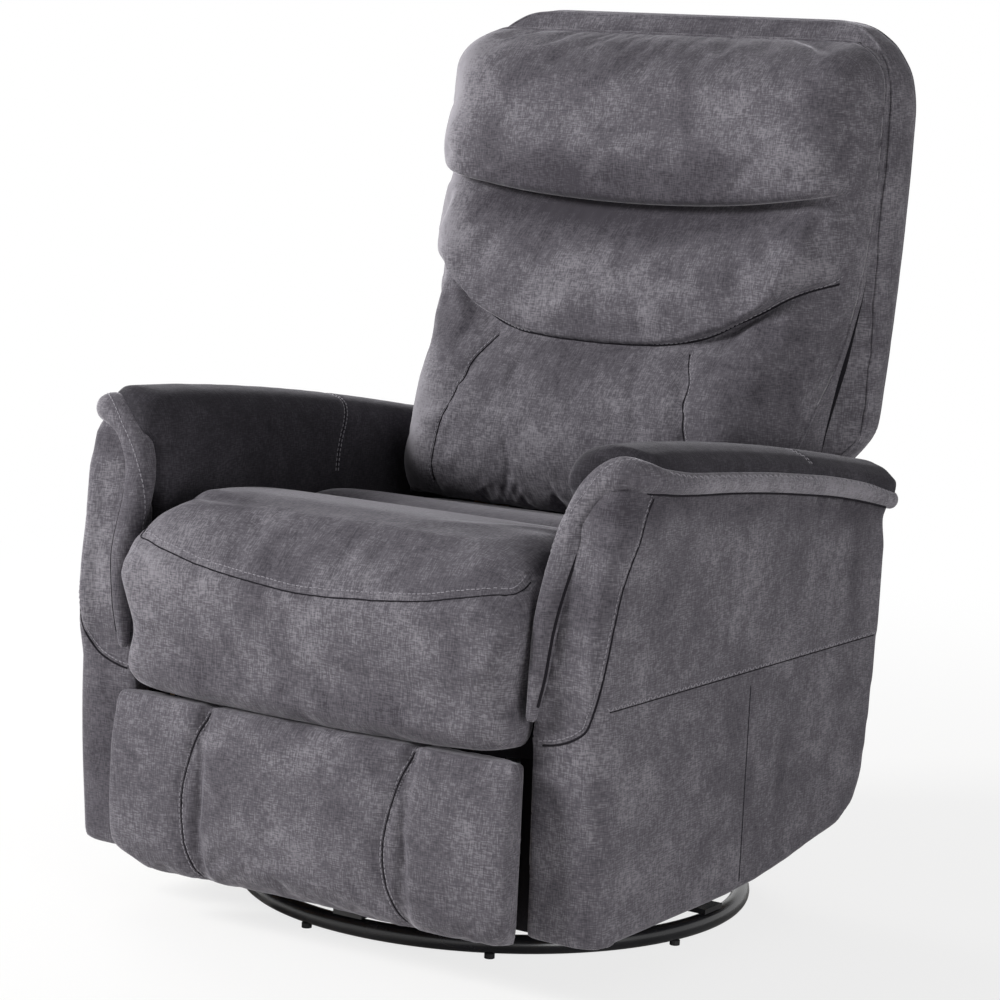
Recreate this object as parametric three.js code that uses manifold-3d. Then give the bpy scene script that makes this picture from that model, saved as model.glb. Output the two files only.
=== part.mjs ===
// Swivel glider recliner. Millimetres, +Z up. The sitter faces -Y, and left and right are the sitter's (left is +X).
// The origin is on the floor, on the swivel axis, which is also the middle of the chair's footprint.
import * as THREE from "three";
import { mergeVertices } from "three/addons/utils/BufferGeometryUtils.js";
import Module from "manifold-3d";

const wasm = await Module();
wasm.setup();

// Fits
const GAP = 0.3; // between pieces that lie against each other
const PIN_CLEARANCE = 0.4; // round a pin in its hole
const OVERRUN = 2; // how far a cut runs past a face
const SIDE_CLEARANCE = 5; // between the seat or the footrest and the arms
const HINGE_CLEARANCE = 6; // round pieces that turn past each other

// Swivel base
const FOOT_RADIUS = 6;
const FOOT_HEIGHT = 6;
const FOOT_COUNT = 8;
const FOOT_TURN_DEGREES = -12.6;
const RING_RADIUS = 302;
const RING_TUBE_RADIUS = 11;
const SPIDER_WIDTH = 40;
const SPIDER_THICKNESS = 6;
const RACE_RADIUS = 105;
const RACE_THICKNESS = 5;
const BORE_CLEARANCE = 4; // round the swivel bolt, in the races and the bars
const CAGE_RADIUS = 70;
const CAGE_HALF_WIDTH = 25;
const CAGE_THICKNESS = 8;
const BOLT_RADIUS = 8;
const BOLT_HEAD_RADIUS = 15;
const BOLT_HEAD_HEIGHT = 7;
const NUT_HEIGHT = 9;

// Glider
const PLATE = 4; // steel plate of every mechanism piece
const PIN_RADIUS = 5;
const EYE_RADIUS = 15; // rounded ends of the rails, round their pins
const LINK_HALF_WIDTH = 11;
const GLIDER_HALF_WIDTH = 225; // to the inner faces of the glider rails
const GLIDER_CROSS_WIDTH = 30;
const GLIDER_CROSS_HEIGHT = 20;
const GLIDER_CROSS_REACH = 60; // from the swivel axis to each cross bar
const LINK_REACH = 150; // from the swivel axis to the front and rear links
const LINK_LENGTH = 90;
const LINK_FOOT_HEIGHT = 74; // of the lower pivots

// Chassis
const CHASSIS_RISE = 30; // from the lower pivots to the middle of the chassis rails
const CHASSIS_FRONT_REACH = 250;
const CHASSIS_REAR_REACH = 186;
const CROSS_TUBE_WIDTH = 22;
const SEAT_HINGE_REACH = 160; // behind the swivel axis
const SEAT_RAIL_HEIGHT = 300;
const STOP_REACH = 205; // in front of the swivel axis
const STOP_TUBE_RADIUS = 8;
const BOARD = 20; // thickness of the frame boards

// Seat
const SEAT_HALF_WIDTH = 273; // between the arms
const SEAT_FRONT_REACH = 414;
const SEAT_REAR_REACH = 190;
const SEAT_ROLL_HEIGHT = 486;
const SEAT_REAR_HEIGHT = 440;
const SEAT_LIP_HEIGHT = 272;
const SEAT_DRAW_IN_SHARE = 0.19; // of the depth of its roll, by which its sides are drawn in
const SEAT_BEAM_WIDTH = 22;
const SEAT_BEAM_HEIGHT = 24;
const SPRING_COUNT = 3;
const SPRING_WIRE_RADIUS = 2;
const SPRING_WAVES = 7;
const SPRING_HALF_WIDTH = 18;
const SPRING_INSET = 54; // from the beams' ends to the middle of the outer springs

// Footrest
const FOOTREST_PIVOT_REACH = 315;
const FOOTREST_PIVOT_HEIGHT = 245;
const FOOTREST_LINK_LENGTH = 185;
const FOOTREST_FOLD_DEGREES = 10; // of the folded links from the vertical
const BRACKET_SETBACK = 37; // from the pad's pivot to its board
const FOOTREST_BOARD = 12;
const FOOTREST_TOP_HEIGHT = 264;
const FOOTREST_FOOT_HEIGHT = 57;
const FOOTREST_PAD_DEPTH = 44;
const FOOTREST_SEAM_REACH = 141;
const FOOTREST_SEAM_DEPTH = 12;

// Arms
const ARM_HALF_WIDTH = 381; // to the lip of the arm pads
const PANEL_HALF_WIDTH = 361; // to the outer face of the side panels
const PANEL_FLARE = 12; // how far the panel leans out under the pad
const PANEL_FLARE_HEIGHT = 430; // where it starts to
const PANEL_EDGE_RADIUS = 8;
const ARM_FRONT_HEIGHT = 609;
const ARM_REAR_HEIGHT = 541;
const ARM_FRONT_REACH = 345;
const ARM_REAR_REACH = 283;
const ARM_PAD_DEPTH = 57;
const ARM_WALL = 26; // of the padded wall inside each arm
const ARM_WALL_FOOT_HEIGHT = 300;
const FACING_REACH = 318; // from the swivel axis to the back of each facing
const FACING_FRONT_REACH = 380;
const FACING_CORNER_RADIUS = 26;
const PANEL_FOOT_HEIGHT = 66;
const FRAME_FOOT_RISE = 30; // of the frame boards above the panels' lower edge

// Rear of the chassis
const REAR_BOARD_TOP_HEIGHT = 290;
const REAR_BOARD_FOOT_HEIGHT = 112;
const REAR_PANEL_TOP_HEIGHT = 196;
const REAR_PANEL_FOOT_HEIGHT = 100;
const REAR_PANEL_DEPTH = 16;

// Back
const BACK_HINGE_REACH = 255; // behind the swivel axis
const BACK_HINGE_HEIGHT = 250;
const HINGE_FLANGE_WIDTH = 30; // of the plates that hold the hinges to the rear board
const BACK_FOOT_HEIGHT = 235;
const BACK_TOP_HEIGHT = 1067;
const BACK_REAR_REACH = 378; // of the shell at the height where it starts to straighten
const BACK_BEND_HEIGHT = 600;
const BACK_BEND_LENGTH = 420;
const BACK_LEAN_DEGREES = 11;
const SHELL_DEPTH = 78;
const SHELL_HALF_WIDTH = 308;
const SHELL_FOOT_HALF_WIDTH = 262;
const SHELL_NECK_HEIGHT = 500; // where the narrow lower part starts to widen
const SHELL_SHOULDER_HEIGHT = 570; // where it is wide
const SHELL_CORNER_RADIUS = 22;
const SHELL_TOP_RADIUS = 100;
const SHELL_WALL = 20;
const POST_WIDTH = 28;
const POST_INSET = 6; // from the shell's inner wall to the posts
const POST_DEPTH = 44;
const RAIL_HEIGHT = 50;
const BACK_BRACKET_HEIGHT = 420;
const BACK_BRACKET_HALF_WIDTH = 12;
const CUSHION_HALF_WIDTH = 298;
const LUMBAR_HALF_WIDTH = 267;
const CUSHION_WIDENING_HEIGHT = 124; // above the arms, from between them to the full width
const CUSHION_TOP_DROP = 27; // from the top of the shell to the top of the headrest
const CUSHION_TOP_RADIUS = 60;
const HEADREST_HEIGHT = 202; // in the middle
const CREASE_RISE = 24; // of the headrest's lower edge, at its ends
const SHOULDER_HEIGHT = 173; // of the shoulder cushion, in the middle
const YOKE_RISE = 68; // of the shoulder cushion's lower edge, at its ends
const YOKE_FLAT_REACH = 140; // half the width of its level middle
const LUMBAR_FOOT_HEIGHT = 446;
const CUSHION_DEPTH = 190; // of the lumbar cushion, the deepest
const LUMBAR_SEAM_REACH = 158;
const LUMBAR_SEAM_DEPTH = 12;
const CUSHION_SEAM = 3; // between one cushion and the next

// Release paddle, in the right side panel
const CUP_LENGTH = 130;
const CUP_HEIGHT = 62;
const CUP_DEPTH = 26;
const CUP_WALL = 2.5;
const CUP_RIM = 6;
const CUP_RIM_THICKNESS = 2;
const CUP_REACH = 90; // in front of the swivel axis, to its middle
const CUP_MIDDLE_HEIGHT = 372;
const PADDLE_THICKNESS = 4;
const PADDLE_HEIGHT = 30;
const PADDLE_PIN_RADIUS = 3;
const PADDLE_INSET = 3; // behind the rim

// Counts of the facets
const PIN_SIDES = 12;
const END_SIDES = 5; // of each quarter of a rail's round end
const TUBE_SIDES = 10;
const RING_SIDES = 48;
const DISC_SIDES = 28;
const HEX_SIDES = 6;

// Finishes
const FINISHES = {
  fabric: { color: 0x5a565c, roughness: 0.95, metalness: 0 },
  blackSteel: { color: 0x121214, roughness: 0.35, metalness: 0.6 },
  zincSteel: { color: 0x9a9da1, roughness: 0.45, metalness: 0.9 },
  wood: { color: 0xc09a6b, roughness: 0.8, metalness: 0 },
  rubber: { color: 0x17171a, roughness: 0.9, metalness: 0 },
  plastic: { color: 0x1c1c1f, roughness: 0.55, metalness: 0 },
};
const MATERIALS = Object.fromEntries(
  Object.entries(FINISHES).map(([name, finish]) => [name, new THREE.MeshStandardMaterial(finish)]),
);

const LEFT_AND_RIGHT = [
  { side: 1, word: "left" },
  { side: -1, word: "right" },
];

// A closed mesh as a solid that can be joined and cut
function solidOf(geometry) {
  const bare = geometry.index ? geometry.toNonIndexed() : geometry.clone();
  bare.deleteAttribute("normal");
  bare.deleteAttribute("uv");
  const merged = mergeVertices(bare);
  return new wasm.Manifold(
    new wasm.Mesh({
      numProp: 3,
      vertProperties: merged.attributes.position.array,
      triVerts: new Uint32Array(merged.index.array),
    }),
  );
}

function geometryOf(solid) {
  const { vertProperties, triVerts } = solid.getMesh();
  const geometry = new THREE.BufferGeometry();
  geometry.setAttribute("position", new THREE.BufferAttribute(vertProperties, 3));
  geometry.setIndex(new THREE.BufferAttribute(triVerts, 1));
  return geometry;
}

function join(...geometries) {
  return geometryOf(geometries.map(solidOf).reduce((whole, next) => whole.add(next)));
}

function cut(geometry, ...tools) {
  return geometryOf(tools.map(solidOf).reduce((whole, tool) => whole.subtract(tool), solidOf(geometry)));
}

function piece(name, geometry, finish) {
  const shaded = geometry.index ? geometry.toNonIndexed() : geometry;
  shaded.computeVertexNormals();
  const mesh = new THREE.Mesh(shaded, MATERIALS[finish]);
  mesh.name = name;
  return mesh;
}

function body(...pieces) {
  const group = new THREE.Group();
  group.add(...pieces.flat());
  return group;
}

// Box between two values on each axis, given in any order
function box([x0, x1], [y0, y1], [z0, z1]) {
  const geometry = new THREE.BoxGeometry(Math.abs(x1 - x0), Math.abs(y1 - y0), Math.abs(z1 - z0));
  return geometry.translate((x0 + x1) / 2, (y0 + y1) / 2, (z0 + z1) / 2);
}

function rodAlongX(radius, [x0, x1], [y, z], sides = PIN_SIDES) {
  const geometry = new THREE.CylinderGeometry(radius, radius, Math.abs(x1 - x0), sides);
  return geometry.rotateZ(Math.PI / 2).translate((x0 + x1) / 2, y, z);
}

function rodAlongY(radius, [y0, y1], [x, z], sides = PIN_SIDES) {
  const geometry = new THREE.CylinderGeometry(radius, radius, Math.abs(y1 - y0), sides);
  return geometry.translate(x, (y0 + y1) / 2, z);
}

function rodAlongZ(radius, [z0, z1], [x, y], sides = DISC_SIDES) {
  const geometry = new THREE.CylinderGeometry(radius, radius, Math.abs(z1 - z0), sides);
  return geometry.rotateX(Math.PI / 2).translate(x, y, (z0 + z1) / 2);
}

// Flat bar with round ends, from one point to another of the y-z plane, as thick as its span in x
function strut([x0, x1], [y0, z0], [y1, z1], halfWidth) {
  const turn = Math.atan2(z1 - z0, y1 - y0);
  const outline = new THREE.Shape();
  outline.absarc(y0, z0, halfWidth, turn + Math.PI / 2, turn + (3 * Math.PI) / 2, false);
  outline.absarc(y1, z1, halfWidth, turn - Math.PI / 2, turn + Math.PI / 2, false);
  outline.closePath();
  const settings = { depth: Math.abs(x1 - x0), bevelEnabled: false, curveSegments: END_SIDES };
  const geometry = new THREE.ExtrudeGeometry(outline, settings);
  const [X, Y, Z] = [new THREE.Vector3(1, 0, 0), new THREE.Vector3(0, 1, 0), new THREE.Vector3(0, 0, 1)];
  geometry.applyMatrix4(new THREE.Matrix4().makeBasis(Y, Z, X));
  return geometry.translate(Math.min(x0, x1), 0, 0);
}

// Three corners of an end face in the order in which they stand round the ring
function inRingOrder([a, b, c]) {
  const rises = Number(b > a) + Number(c > b) + Number(a > c);
  return rises === 2 ? [a, b, c] : [a, c, b];
}

// Closed skin through rings of points, each end closed by a face seen in the plane of the axes u and v
function loft(rings, [u, v]) {
  const count = rings[0].length;
  const lastRing = (rings.length - 1) * count;
  const faces = [];
  for (let ring = 0; ring < lastRing; ring += count) {
    for (let step = 0; step < count; step += 1) {
      const [a, b] = [ring + step, ring + ((step + 1) % count)];
      faces.push([a, b, b + count], [a, b + count, a + count]);
    }
  }
  const endOf = (ring) => {
    const contour = ring.map((point) => new THREE.Vector2(point[u], point[v]));
    return THREE.ShapeUtils.triangulateShape(contour, []).map(inRingOrder);
  };
  faces.push(...endOf(rings[0]).map(([a, b, c]) => [a, c, b]));
  faces.push(...endOf(rings.at(-1)).map((corners) => corners.map((corner) => corner + lastRing)));
  const points = rings.flat().map((point) => new THREE.Vector3(...point));
  const volume = faces.reduce((sum, [a, b, c]) => sum + points[a].dot(points[b].clone().cross(points[c])), 0);
  const outward = volume > 0 ? faces : faces.map(([a, b, c]) => [a, c, b]);
  const geometry = new THREE.BufferGeometry();
  geometry.setAttribute("position", new THREE.Float32BufferAttribute(rings.flat(2), 3));
  geometry.setIndex(outward.flat());
  return geometry;
}

// Value of a table of [place, value] rows, with straight runs between them
function fromTable(table, place) {
  const after = table.findIndex(([at]) => at >= place);
  if (after < 0) return table.at(-1)[1];
  if (after === 0) return table[0][1];
  const [[fromPlace, fromValue], [toPlace, toValue]] = [table[after - 1], table[after]];
  return fromValue + ((toValue - fromValue) * (place - fromPlace)) / (toPlace - fromPlace);
}

function smoothStep(low, high, value) {
  const share = Math.min(1, Math.max(0, (value - low) / (high - low)));
  return share * share * (3 - 2 * share);
}

function spread(count) {
  return Array.from({ length: count }, (_, index) => index / (count - 1));
}

// Stack of the swivel bearing, from the floor up
const raceBore = BOLT_RADIUS + BORE_CLEARANCE;
const ringTop = FOOT_HEIGHT + 2 * RING_TUBE_RADIUS;
const spiderBottom = ringTop + GAP;
const lowerRaceBottom = spiderBottom + SPIDER_THICKNESS + GAP;
const cageBottom = lowerRaceBottom + RACE_THICKNESS + GAP;
const upperRaceBottom = cageBottom + CAGE_THICKNESS + GAP;
const turntableBottom = upperRaceBottom + RACE_THICKNESS + GAP;

// Layers of the mechanism, from the inside out
const layer = (inner) => [inner, inner + PLATE];
const bracketLayer = layer(GLIDER_HALF_WIDTH);
const linkLayer = layer(bracketLayer[1] + GAP);
const chassisLayer = layer(linkLayer[1] + GAP);
const seatLayer = layer(chassisLayer[1] + GAP);
const bySide = (side, [inner, outer]) => [side * inner, side * outer];

// Heights and places that several pieces share
const cushionTop = BACK_TOP_HEIGHT - CUSHION_TOP_DROP;
const creaseMiddle = cushionTop - HEADREST_HEIGHT;
const yokeMiddle = creaseMiddle - SHOULDER_HEIGHT;
const linkHeadHeight = LINK_FOOT_HEIGHT + LINK_LENGTH;
const chassisHeight = LINK_FOOT_HEIGHT + CHASSIS_RISE;
const chassisRear = CHASSIS_REAR_REACH + EYE_RADIUS;
const rearBoardFront = chassisRear + GAP;
const rearBoardBack = rearBoardFront + BOARD;
const frameInner = SEAT_HALF_WIDTH + ARM_WALL + GAP;
const frameOuter = frameInner + BOARD;
const seatRailTop = SEAT_RAIL_HEIGHT + EYE_RADIUS;
const seatBeamBottom = seatRailTop + GAP;
const seatBeamTop = seatBeamBottom + SEAT_BEAM_HEIGHT;
const seatCushionBottom = seatBeamTop + 2 * SPRING_WIRE_RADIUS + 2 * GAP;
const frontBeamFront = -(FOOTREST_PIVOT_REACH + EYE_RADIUS);
const frontBeamBack = frontBeamFront + SEAT_BEAM_WIDTH;
const rearBeamBack = SEAT_HINGE_REACH + EYE_RADIUS;

const pinHole = (layerSpan, place) => rodAlongX(PIN_RADIUS + PIN_CLEARANCE, spanPast(layerSpan), place);

function spanPast([x0, x1]) {
  const over = Math.sign(x1 - x0) * OVERRUN;
  return [x0 - over, x1 + over];
}

// The pin of one layer that fills the hole of the layer beside it
function pinInto(own, other, place) {
  const middle = (own[0] + own[1]) / 2;
  const far = Math.abs(other[0] - middle) > Math.abs(other[1] - middle) ? other[0] : other[1];
  return rodAlongX(PIN_RADIUS, [middle, far], place);
}

function makeBase() {
  const ring = new THREE.TorusGeometry(RING_RADIUS, RING_TUBE_RADIUS, TUBE_SIDES, RING_SIDES);
  ring.translate(0, 0, FOOT_HEIGHT + RING_TUBE_RADIUS);
  const feet = Array.from({ length: FOOT_COUNT }, (_, index) => {
    const turn = THREE.MathUtils.degToRad(FOOT_TURN_DEGREES + (index * 360) / FOOT_COUNT);
    const place = [RING_RADIUS * Math.cos(turn), RING_RADIUS * Math.sin(turn)];
    const foot = rodAlongZ(FOOT_RADIUS, [0, FOOT_HEIGHT - GAP], place, PIN_SIDES);
    return piece(`base_foot_${index + 1}`, foot, "rubber");
  });
  const barReach = RING_RADIUS + RING_TUBE_RADIUS / 2;
  const bar = [-SPIDER_WIDTH / 2, SPIDER_WIDTH / 2];
  const barSpan = [-barReach, barReach];
  const spiderSpan = [spiderBottom, spiderBottom + SPIDER_THICKNESS];
  const spider = cut(
    join(
      box(barSpan, bar, spiderSpan),
      box(bar, barSpan, spiderSpan),
      rodAlongZ(RACE_RADIUS, spiderSpan, [0, 0]),
    ),
    rodAlongZ(raceBore, spanPast(spiderSpan), [0, 0]),
  );
  const lowerRaceSpan = [lowerRaceBottom, lowerRaceBottom + RACE_THICKNESS];
  const lowerRace = cut(
    rodAlongZ(RACE_RADIUS, lowerRaceSpan, [0, 0]),
    rodAlongZ(raceBore, spanPast(lowerRaceSpan), [0, 0]),
  );
  const cageSpan = [cageBottom, cageBottom + CAGE_THICKNESS];
  const cage = cut(
    rodAlongZ(CAGE_RADIUS + CAGE_HALF_WIDTH, cageSpan, [0, 0]),
    rodAlongZ(CAGE_RADIUS - CAGE_HALF_WIDTH, spanPast(cageSpan), [0, 0]),
  );
  const headTop = spiderBottom - GAP;
  const nutBottom = turntableBottom;
  const nutTop = nutBottom + NUT_HEIGHT;
  const bolt = join(
    rodAlongZ(BOLT_RADIUS, [headTop, nutTop], [0, 0]),
    rodAlongZ(BOLT_HEAD_RADIUS, [headTop - BOLT_HEAD_HEIGHT, headTop], [0, 0], HEX_SIDES),
    rodAlongZ(BOLT_HEAD_RADIUS, [nutBottom, nutTop], [0, 0], HEX_SIDES),
  );
  return body(
    piece("base_ring", ring, "blackSteel"),
    feet,
    piece("base_spider", spider, "blackSteel"),
    piece("lower_bearing_race", lowerRace, "zincSteel"),
    piece("bearing_ball_cage", cage, "plastic"),
    piece("swivel_bolt", bolt, "zincSteel"),
  );
}

function makeTurntable() {
  const raceSpan = [upperRaceBottom, upperRaceBottom + RACE_THICKNESS];
  const race = cut(
    rodAlongZ(RACE_RADIUS, raceSpan, [0, 0]),
    rodAlongZ(raceBore, spanPast(raceSpan), [0, 0]),
  );
  const reach = bracketLayer[1] - PLATE / 2;
  const crossSpan = [turntableBottom, turntableBottom + GLIDER_CROSS_HEIGHT];
  const crosses = [-GLIDER_CROSS_REACH, GLIDER_CROSS_REACH].map((y) =>
    box([-reach, reach], grown([y, y], GLIDER_CROSS_WIDTH / 2), crossSpan),
  );
  const railHeight = turntableBottom + EYE_RADIUS;
  const eyes = [-LINK_REACH, LINK_REACH];
  const spans = LEFT_AND_RIGHT.map(({ side }) => bySide(side, bracketLayer));
  const rails = spans.flatMap((span) => [
    strut(span, [eyes[0], railHeight], [eyes[1], railHeight], EYE_RADIUS),
    ...eyes.map((y) => strut(span, [y, railHeight], [y, linkHeadHeight], EYE_RADIUS)),
  ]);
  const holes = spans.flatMap((span) => eyes.map((y) => pinHole(span, [y, linkHeadHeight])));
  const frame = cut(join(...crosses, ...rails), ...holes);
  return body(piece("upper_bearing_race", race, "zincSteel"), piece("glider_frame", frame, "blackSteel"));
}

function makeGlideLinks(word, y) {
  return body(
    LEFT_AND_RIGHT.map(({ side, word: sideWord }) => {
      const span = bySide(side, linkLayer);
      const link = join(
        strut(span, [y, LINK_FOOT_HEIGHT], [y, linkHeadHeight], LINK_HALF_WIDTH),
        pinInto(span, bySide(side, bracketLayer), [y, linkHeadHeight]),
        pinInto(span, bySide(side, chassisLayer), [y, LINK_FOOT_HEIGHT]),
      );
      return piece(`glide_link_${word}_${sideWord}`, link, "zincSteel");
    }),
  );
}

// Height of the arm pad's ridge at a place along it
function ridgeHeight(y) {
  const share = Math.max(0, (y + ARM_FRONT_REACH) / (ARM_REAR_REACH + ARM_FRONT_REACH));
  const fallPower = 1.6;
  return ARM_FRONT_HEIGHT - (ARM_FRONT_HEIGHT - ARM_REAR_HEIGHT) * share ** fallPower;
}

// Outer face of the side panel and the facing at a height
function panelFace(z) {
  const top = ARM_FRONT_HEIGHT - ARM_PAD_DEPTH;
  return PANEL_HALF_WIDTH + PANEL_FLARE * smoothStep(PANEL_FLARE_HEIGHT, top, z);
}

// Lower edge of the side panel: [share of the way to the rear, share of the height]
const PANEL_EDGE_SHARES = [
  [0, 0],
  [0.15, 0.002],
  [0.3, 0.004],
  [0.43, 0.006],
  [0.54, 0.016],
  [0.66, 0.037],
  [0.76, 0.062],
  [0.87, 0.084],
  [0.93, 0.13],
  [0.96, 0.2],
  [0.975, 0.32],
  [0.99, 0.52],
  [1, 0.72],
];

function panelFoot(y) {
  const share = (y + FACING_REACH) / (ARM_REAR_REACH + FACING_REACH);
  const height = ARM_REAR_HEIGHT - ARM_PAD_DEPTH - PANEL_FOOT_HEIGHT;
  return PANEL_FOOT_HEIGHT + height * fromTable(PANEL_EDGE_SHARES, share);
}

// Places along the arm at which its panel, its board and its pad have their sections
const armStations = PANEL_EDGE_SHARES.map(([share]) => -FACING_REACH + share * (ARM_REAR_REACH + FACING_REACH));

function makeSidePanel(side) {
  const inner = frameOuter + GAP;
  const faceShares = [0, 0.4, 0.62, 0.75, 0.88, 1];
  const rings = armStations.map((y) => {
    const foot = panelFoot(y);
    const top = ridgeHeight(y) - ARM_PAD_DEPTH - GAP;
    const radius = Math.min(PANEL_EDGE_RADIUS, (top - foot) / 3);
    const face = faceShares.map((up) => {
      const z = foot + radius + up * (top - foot - radius);
      return [side * panelFace(z), y, z];
    });
    return [
      [side * inner, y, top],
      [side * inner, y, foot],
      [side * (panelFace(foot) - radius), y, foot],
      ...face,
    ];
  });
  return loft(rings, [0, 2]);
}

// Front of each facing: [share of the height, share of the way out from its back to its front]
const FACING_FRONT_SHARES = [
  [0, 0.6],
  [0.02, 0.65],
  [0.3, 0.7],
  [0.46, 0.76],
  [0.54, 0.93],
  [0.62, 1],
  [0.71, 0.96],
  [0.8, 0.84],
  [0.9, 0.66],
  [1, 0.44],
];

function makeFacing(side) {
  const back = -(FACING_REACH + GAP);
  const depth = FACING_FRONT_REACH - FACING_REACH;
  const deepestCornerShare = 0.9;
  const innerCornerShare = 0.5;
  const top = ridgeHeight(-FACING_REACH) - ARM_PAD_DEPTH - 2 * GAP;
  const cornerShares = spread(4).map((share) => (share * Math.PI) / 2);
  const rings = FACING_FRONT_SHARES.map(([up, out]) => {
    const z = PANEL_FOOT_HEIGHT + up * (top - PANEL_FOOT_HEIGHT);
    const front = back - out * depth;
    const outer = panelFace(z);
    const radius = Math.min(FACING_CORNER_RADIUS, deepestCornerShare * (back - front));
    const innerRadius = innerCornerShare * radius;
    const inner = SEAT_HALF_WIDTH;
    return [
      [side * inner, back, z],
      ...cornerShares.map((turn) => [
        side * (inner + innerRadius * (1 - Math.cos(turn))),
        front + innerRadius * (1 - Math.sin(turn)),
        z,
      ]),
      ...cornerShares.map((turn) => [
        side * (outer - radius * (1 - Math.sin(turn))),
        front + radius * (1 - Math.cos(turn)),
        z,
      ]),
      [side * outer, back, z],
    ];
  });
  return loft(rings, [0, 1]);
}

// Section of the arm pad: [share of the way out across the arm, share of the depth below the ridge]
const ARM_CAP_SHARES = [
  [0, 1],
  [0, 0.75],
  [0.03, 0.48],
  [0.14, 0.16],
  [0.36, 0.01],
  [0.58, 0.01],
  [0.8, 0.15],
  [0.94, 0.38],
  [1, 0.62],
  [0.98, 0.8],
  [0.925, 0.88],
  [0.925, 1],
];
// Front end of the arm pad: [share of its overhang, share of the pad's depth that it has dropped]
const ARM_NOSE_SHARES = [
  [0, 0.55],
  [0.25, 0.26],
  [0.6, 0.08],
  [1, 0],
];

function armPadRing(side, y, drop, wallFoot) {
  const ridge = ridgeHeight(y);
  const width = ARM_HALF_WIDTH - SEAT_HALF_WIDTH;
  const underside = ridge - ARM_PAD_DEPTH;
  const narrow = drop / 2;
  const cap = ARM_CAP_SHARES.map(([across, down]) => [
    side * (SEAT_HALF_WIDTH + width * (narrow / 2 + across * (1 - narrow))),
    y,
    underside + (1 - down) * (1 - drop) * ARM_PAD_DEPTH,
  ]);
  const wallOuter = side * (SEAT_HALF_WIDTH + ARM_WALL);
  return [...cap, [wallOuter, y, underside], [wallOuter, y, wallFoot], [cap[0][0], y, wallFoot]];
}

function makeArmPad(side) {
  const overhang = ARM_FRONT_REACH - FACING_REACH;
  const nose = ARM_NOSE_SHARES.map(([share, drop]) => {
    const y = -ARM_FRONT_REACH + share * overhang;
    return armPadRing(side, y, drop, ridgeHeight(y) - ARM_PAD_DEPTH - GAP);
  });
  const along = armStations.map((y) => {
    const drop = y === ARM_REAR_REACH ? ARM_NOSE_SHARES[1][1] : 0;
    return armPadRing(side, Math.max(y, GAP - FACING_REACH), drop, ARM_WALL_FOOT_HEIGHT);
  });
  return loft([...nose, ...along], [0, 2]);
}

function makeFrameBoard(side) {
  const span = bySide(side, [frameInner, frameOuter]);
  const rings = armStations.slice(0, -2).map((y) => {
    const foot = panelFoot(y) + FRAME_FOOT_RISE;
    const top = ridgeHeight(y) - ARM_PAD_DEPTH - GAP;
    return [
      [span[0], y, foot],
      [span[1], y, foot],
      [span[1], y, top],
      [span[0], y, top],
    ];
  });
  return loft(rings, [0, 2]);
}

const cupMiddle = -CUP_REACH;
const cupFace = -PANEL_HALF_WIDTH;
const cupLength = [cupMiddle - CUP_LENGTH / 2, cupMiddle + CUP_LENGTH / 2];
const cupHeight = [CUP_MIDDLE_HEIGHT - CUP_HEIGHT / 2, CUP_MIDDLE_HEIGHT + CUP_HEIGHT / 2];
const paddleAxis = {
  x: cupFace + PADDLE_INSET + PADDLE_PIN_RADIUS,
  z: cupHeight[1] - CUP_WALL - PADDLE_INSET - PADDLE_PIN_RADIUS,
};

function grown([low, high], by) {
  return [low - by, high + by];
}

function makeReleaseCup() {
  const rimFace = cupFace - GAP - CUP_RIM_THICKNESS;
  const floor = cupFace + CUP_DEPTH;
  const tub = join(
    box([cupFace - GAP, floor], cupLength, cupHeight),
    box([rimFace, cupFace - GAP], grown(cupLength, CUP_RIM), grown(cupHeight, CUP_RIM)),
  );
  const [innerLength, innerHeight] = [grown(cupLength, -CUP_WALL), grown(cupHeight, -CUP_WALL)];
  const hollow = box([rimFace - OVERRUN, floor - CUP_WALL], innerLength, innerHeight);
  const pinSpan = grown(cupLength, OVERRUN);
  const pinBore = rodAlongY(PADDLE_PIN_RADIUS + PIN_CLEARANCE, pinSpan, [paddleAxis.x, paddleAxis.z]);
  return cut(tub, hollow, pinBore);
}

function makePaddle() {
  const length = grown(cupLength, -(CUP_WALL + PIN_CLEARANCE));
  const face = [paddleAxis.x - PADDLE_THICKNESS / 2, paddleAxis.x + PADDLE_THICKNESS / 2];
  return join(
    box(face, length, [paddleAxis.z - PADDLE_HEIGHT, paddleAxis.z]),
    rodAlongY(PADDLE_PIN_RADIUS, cupLength, [paddleAxis.x, paddleAxis.z]),
  );
}

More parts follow.
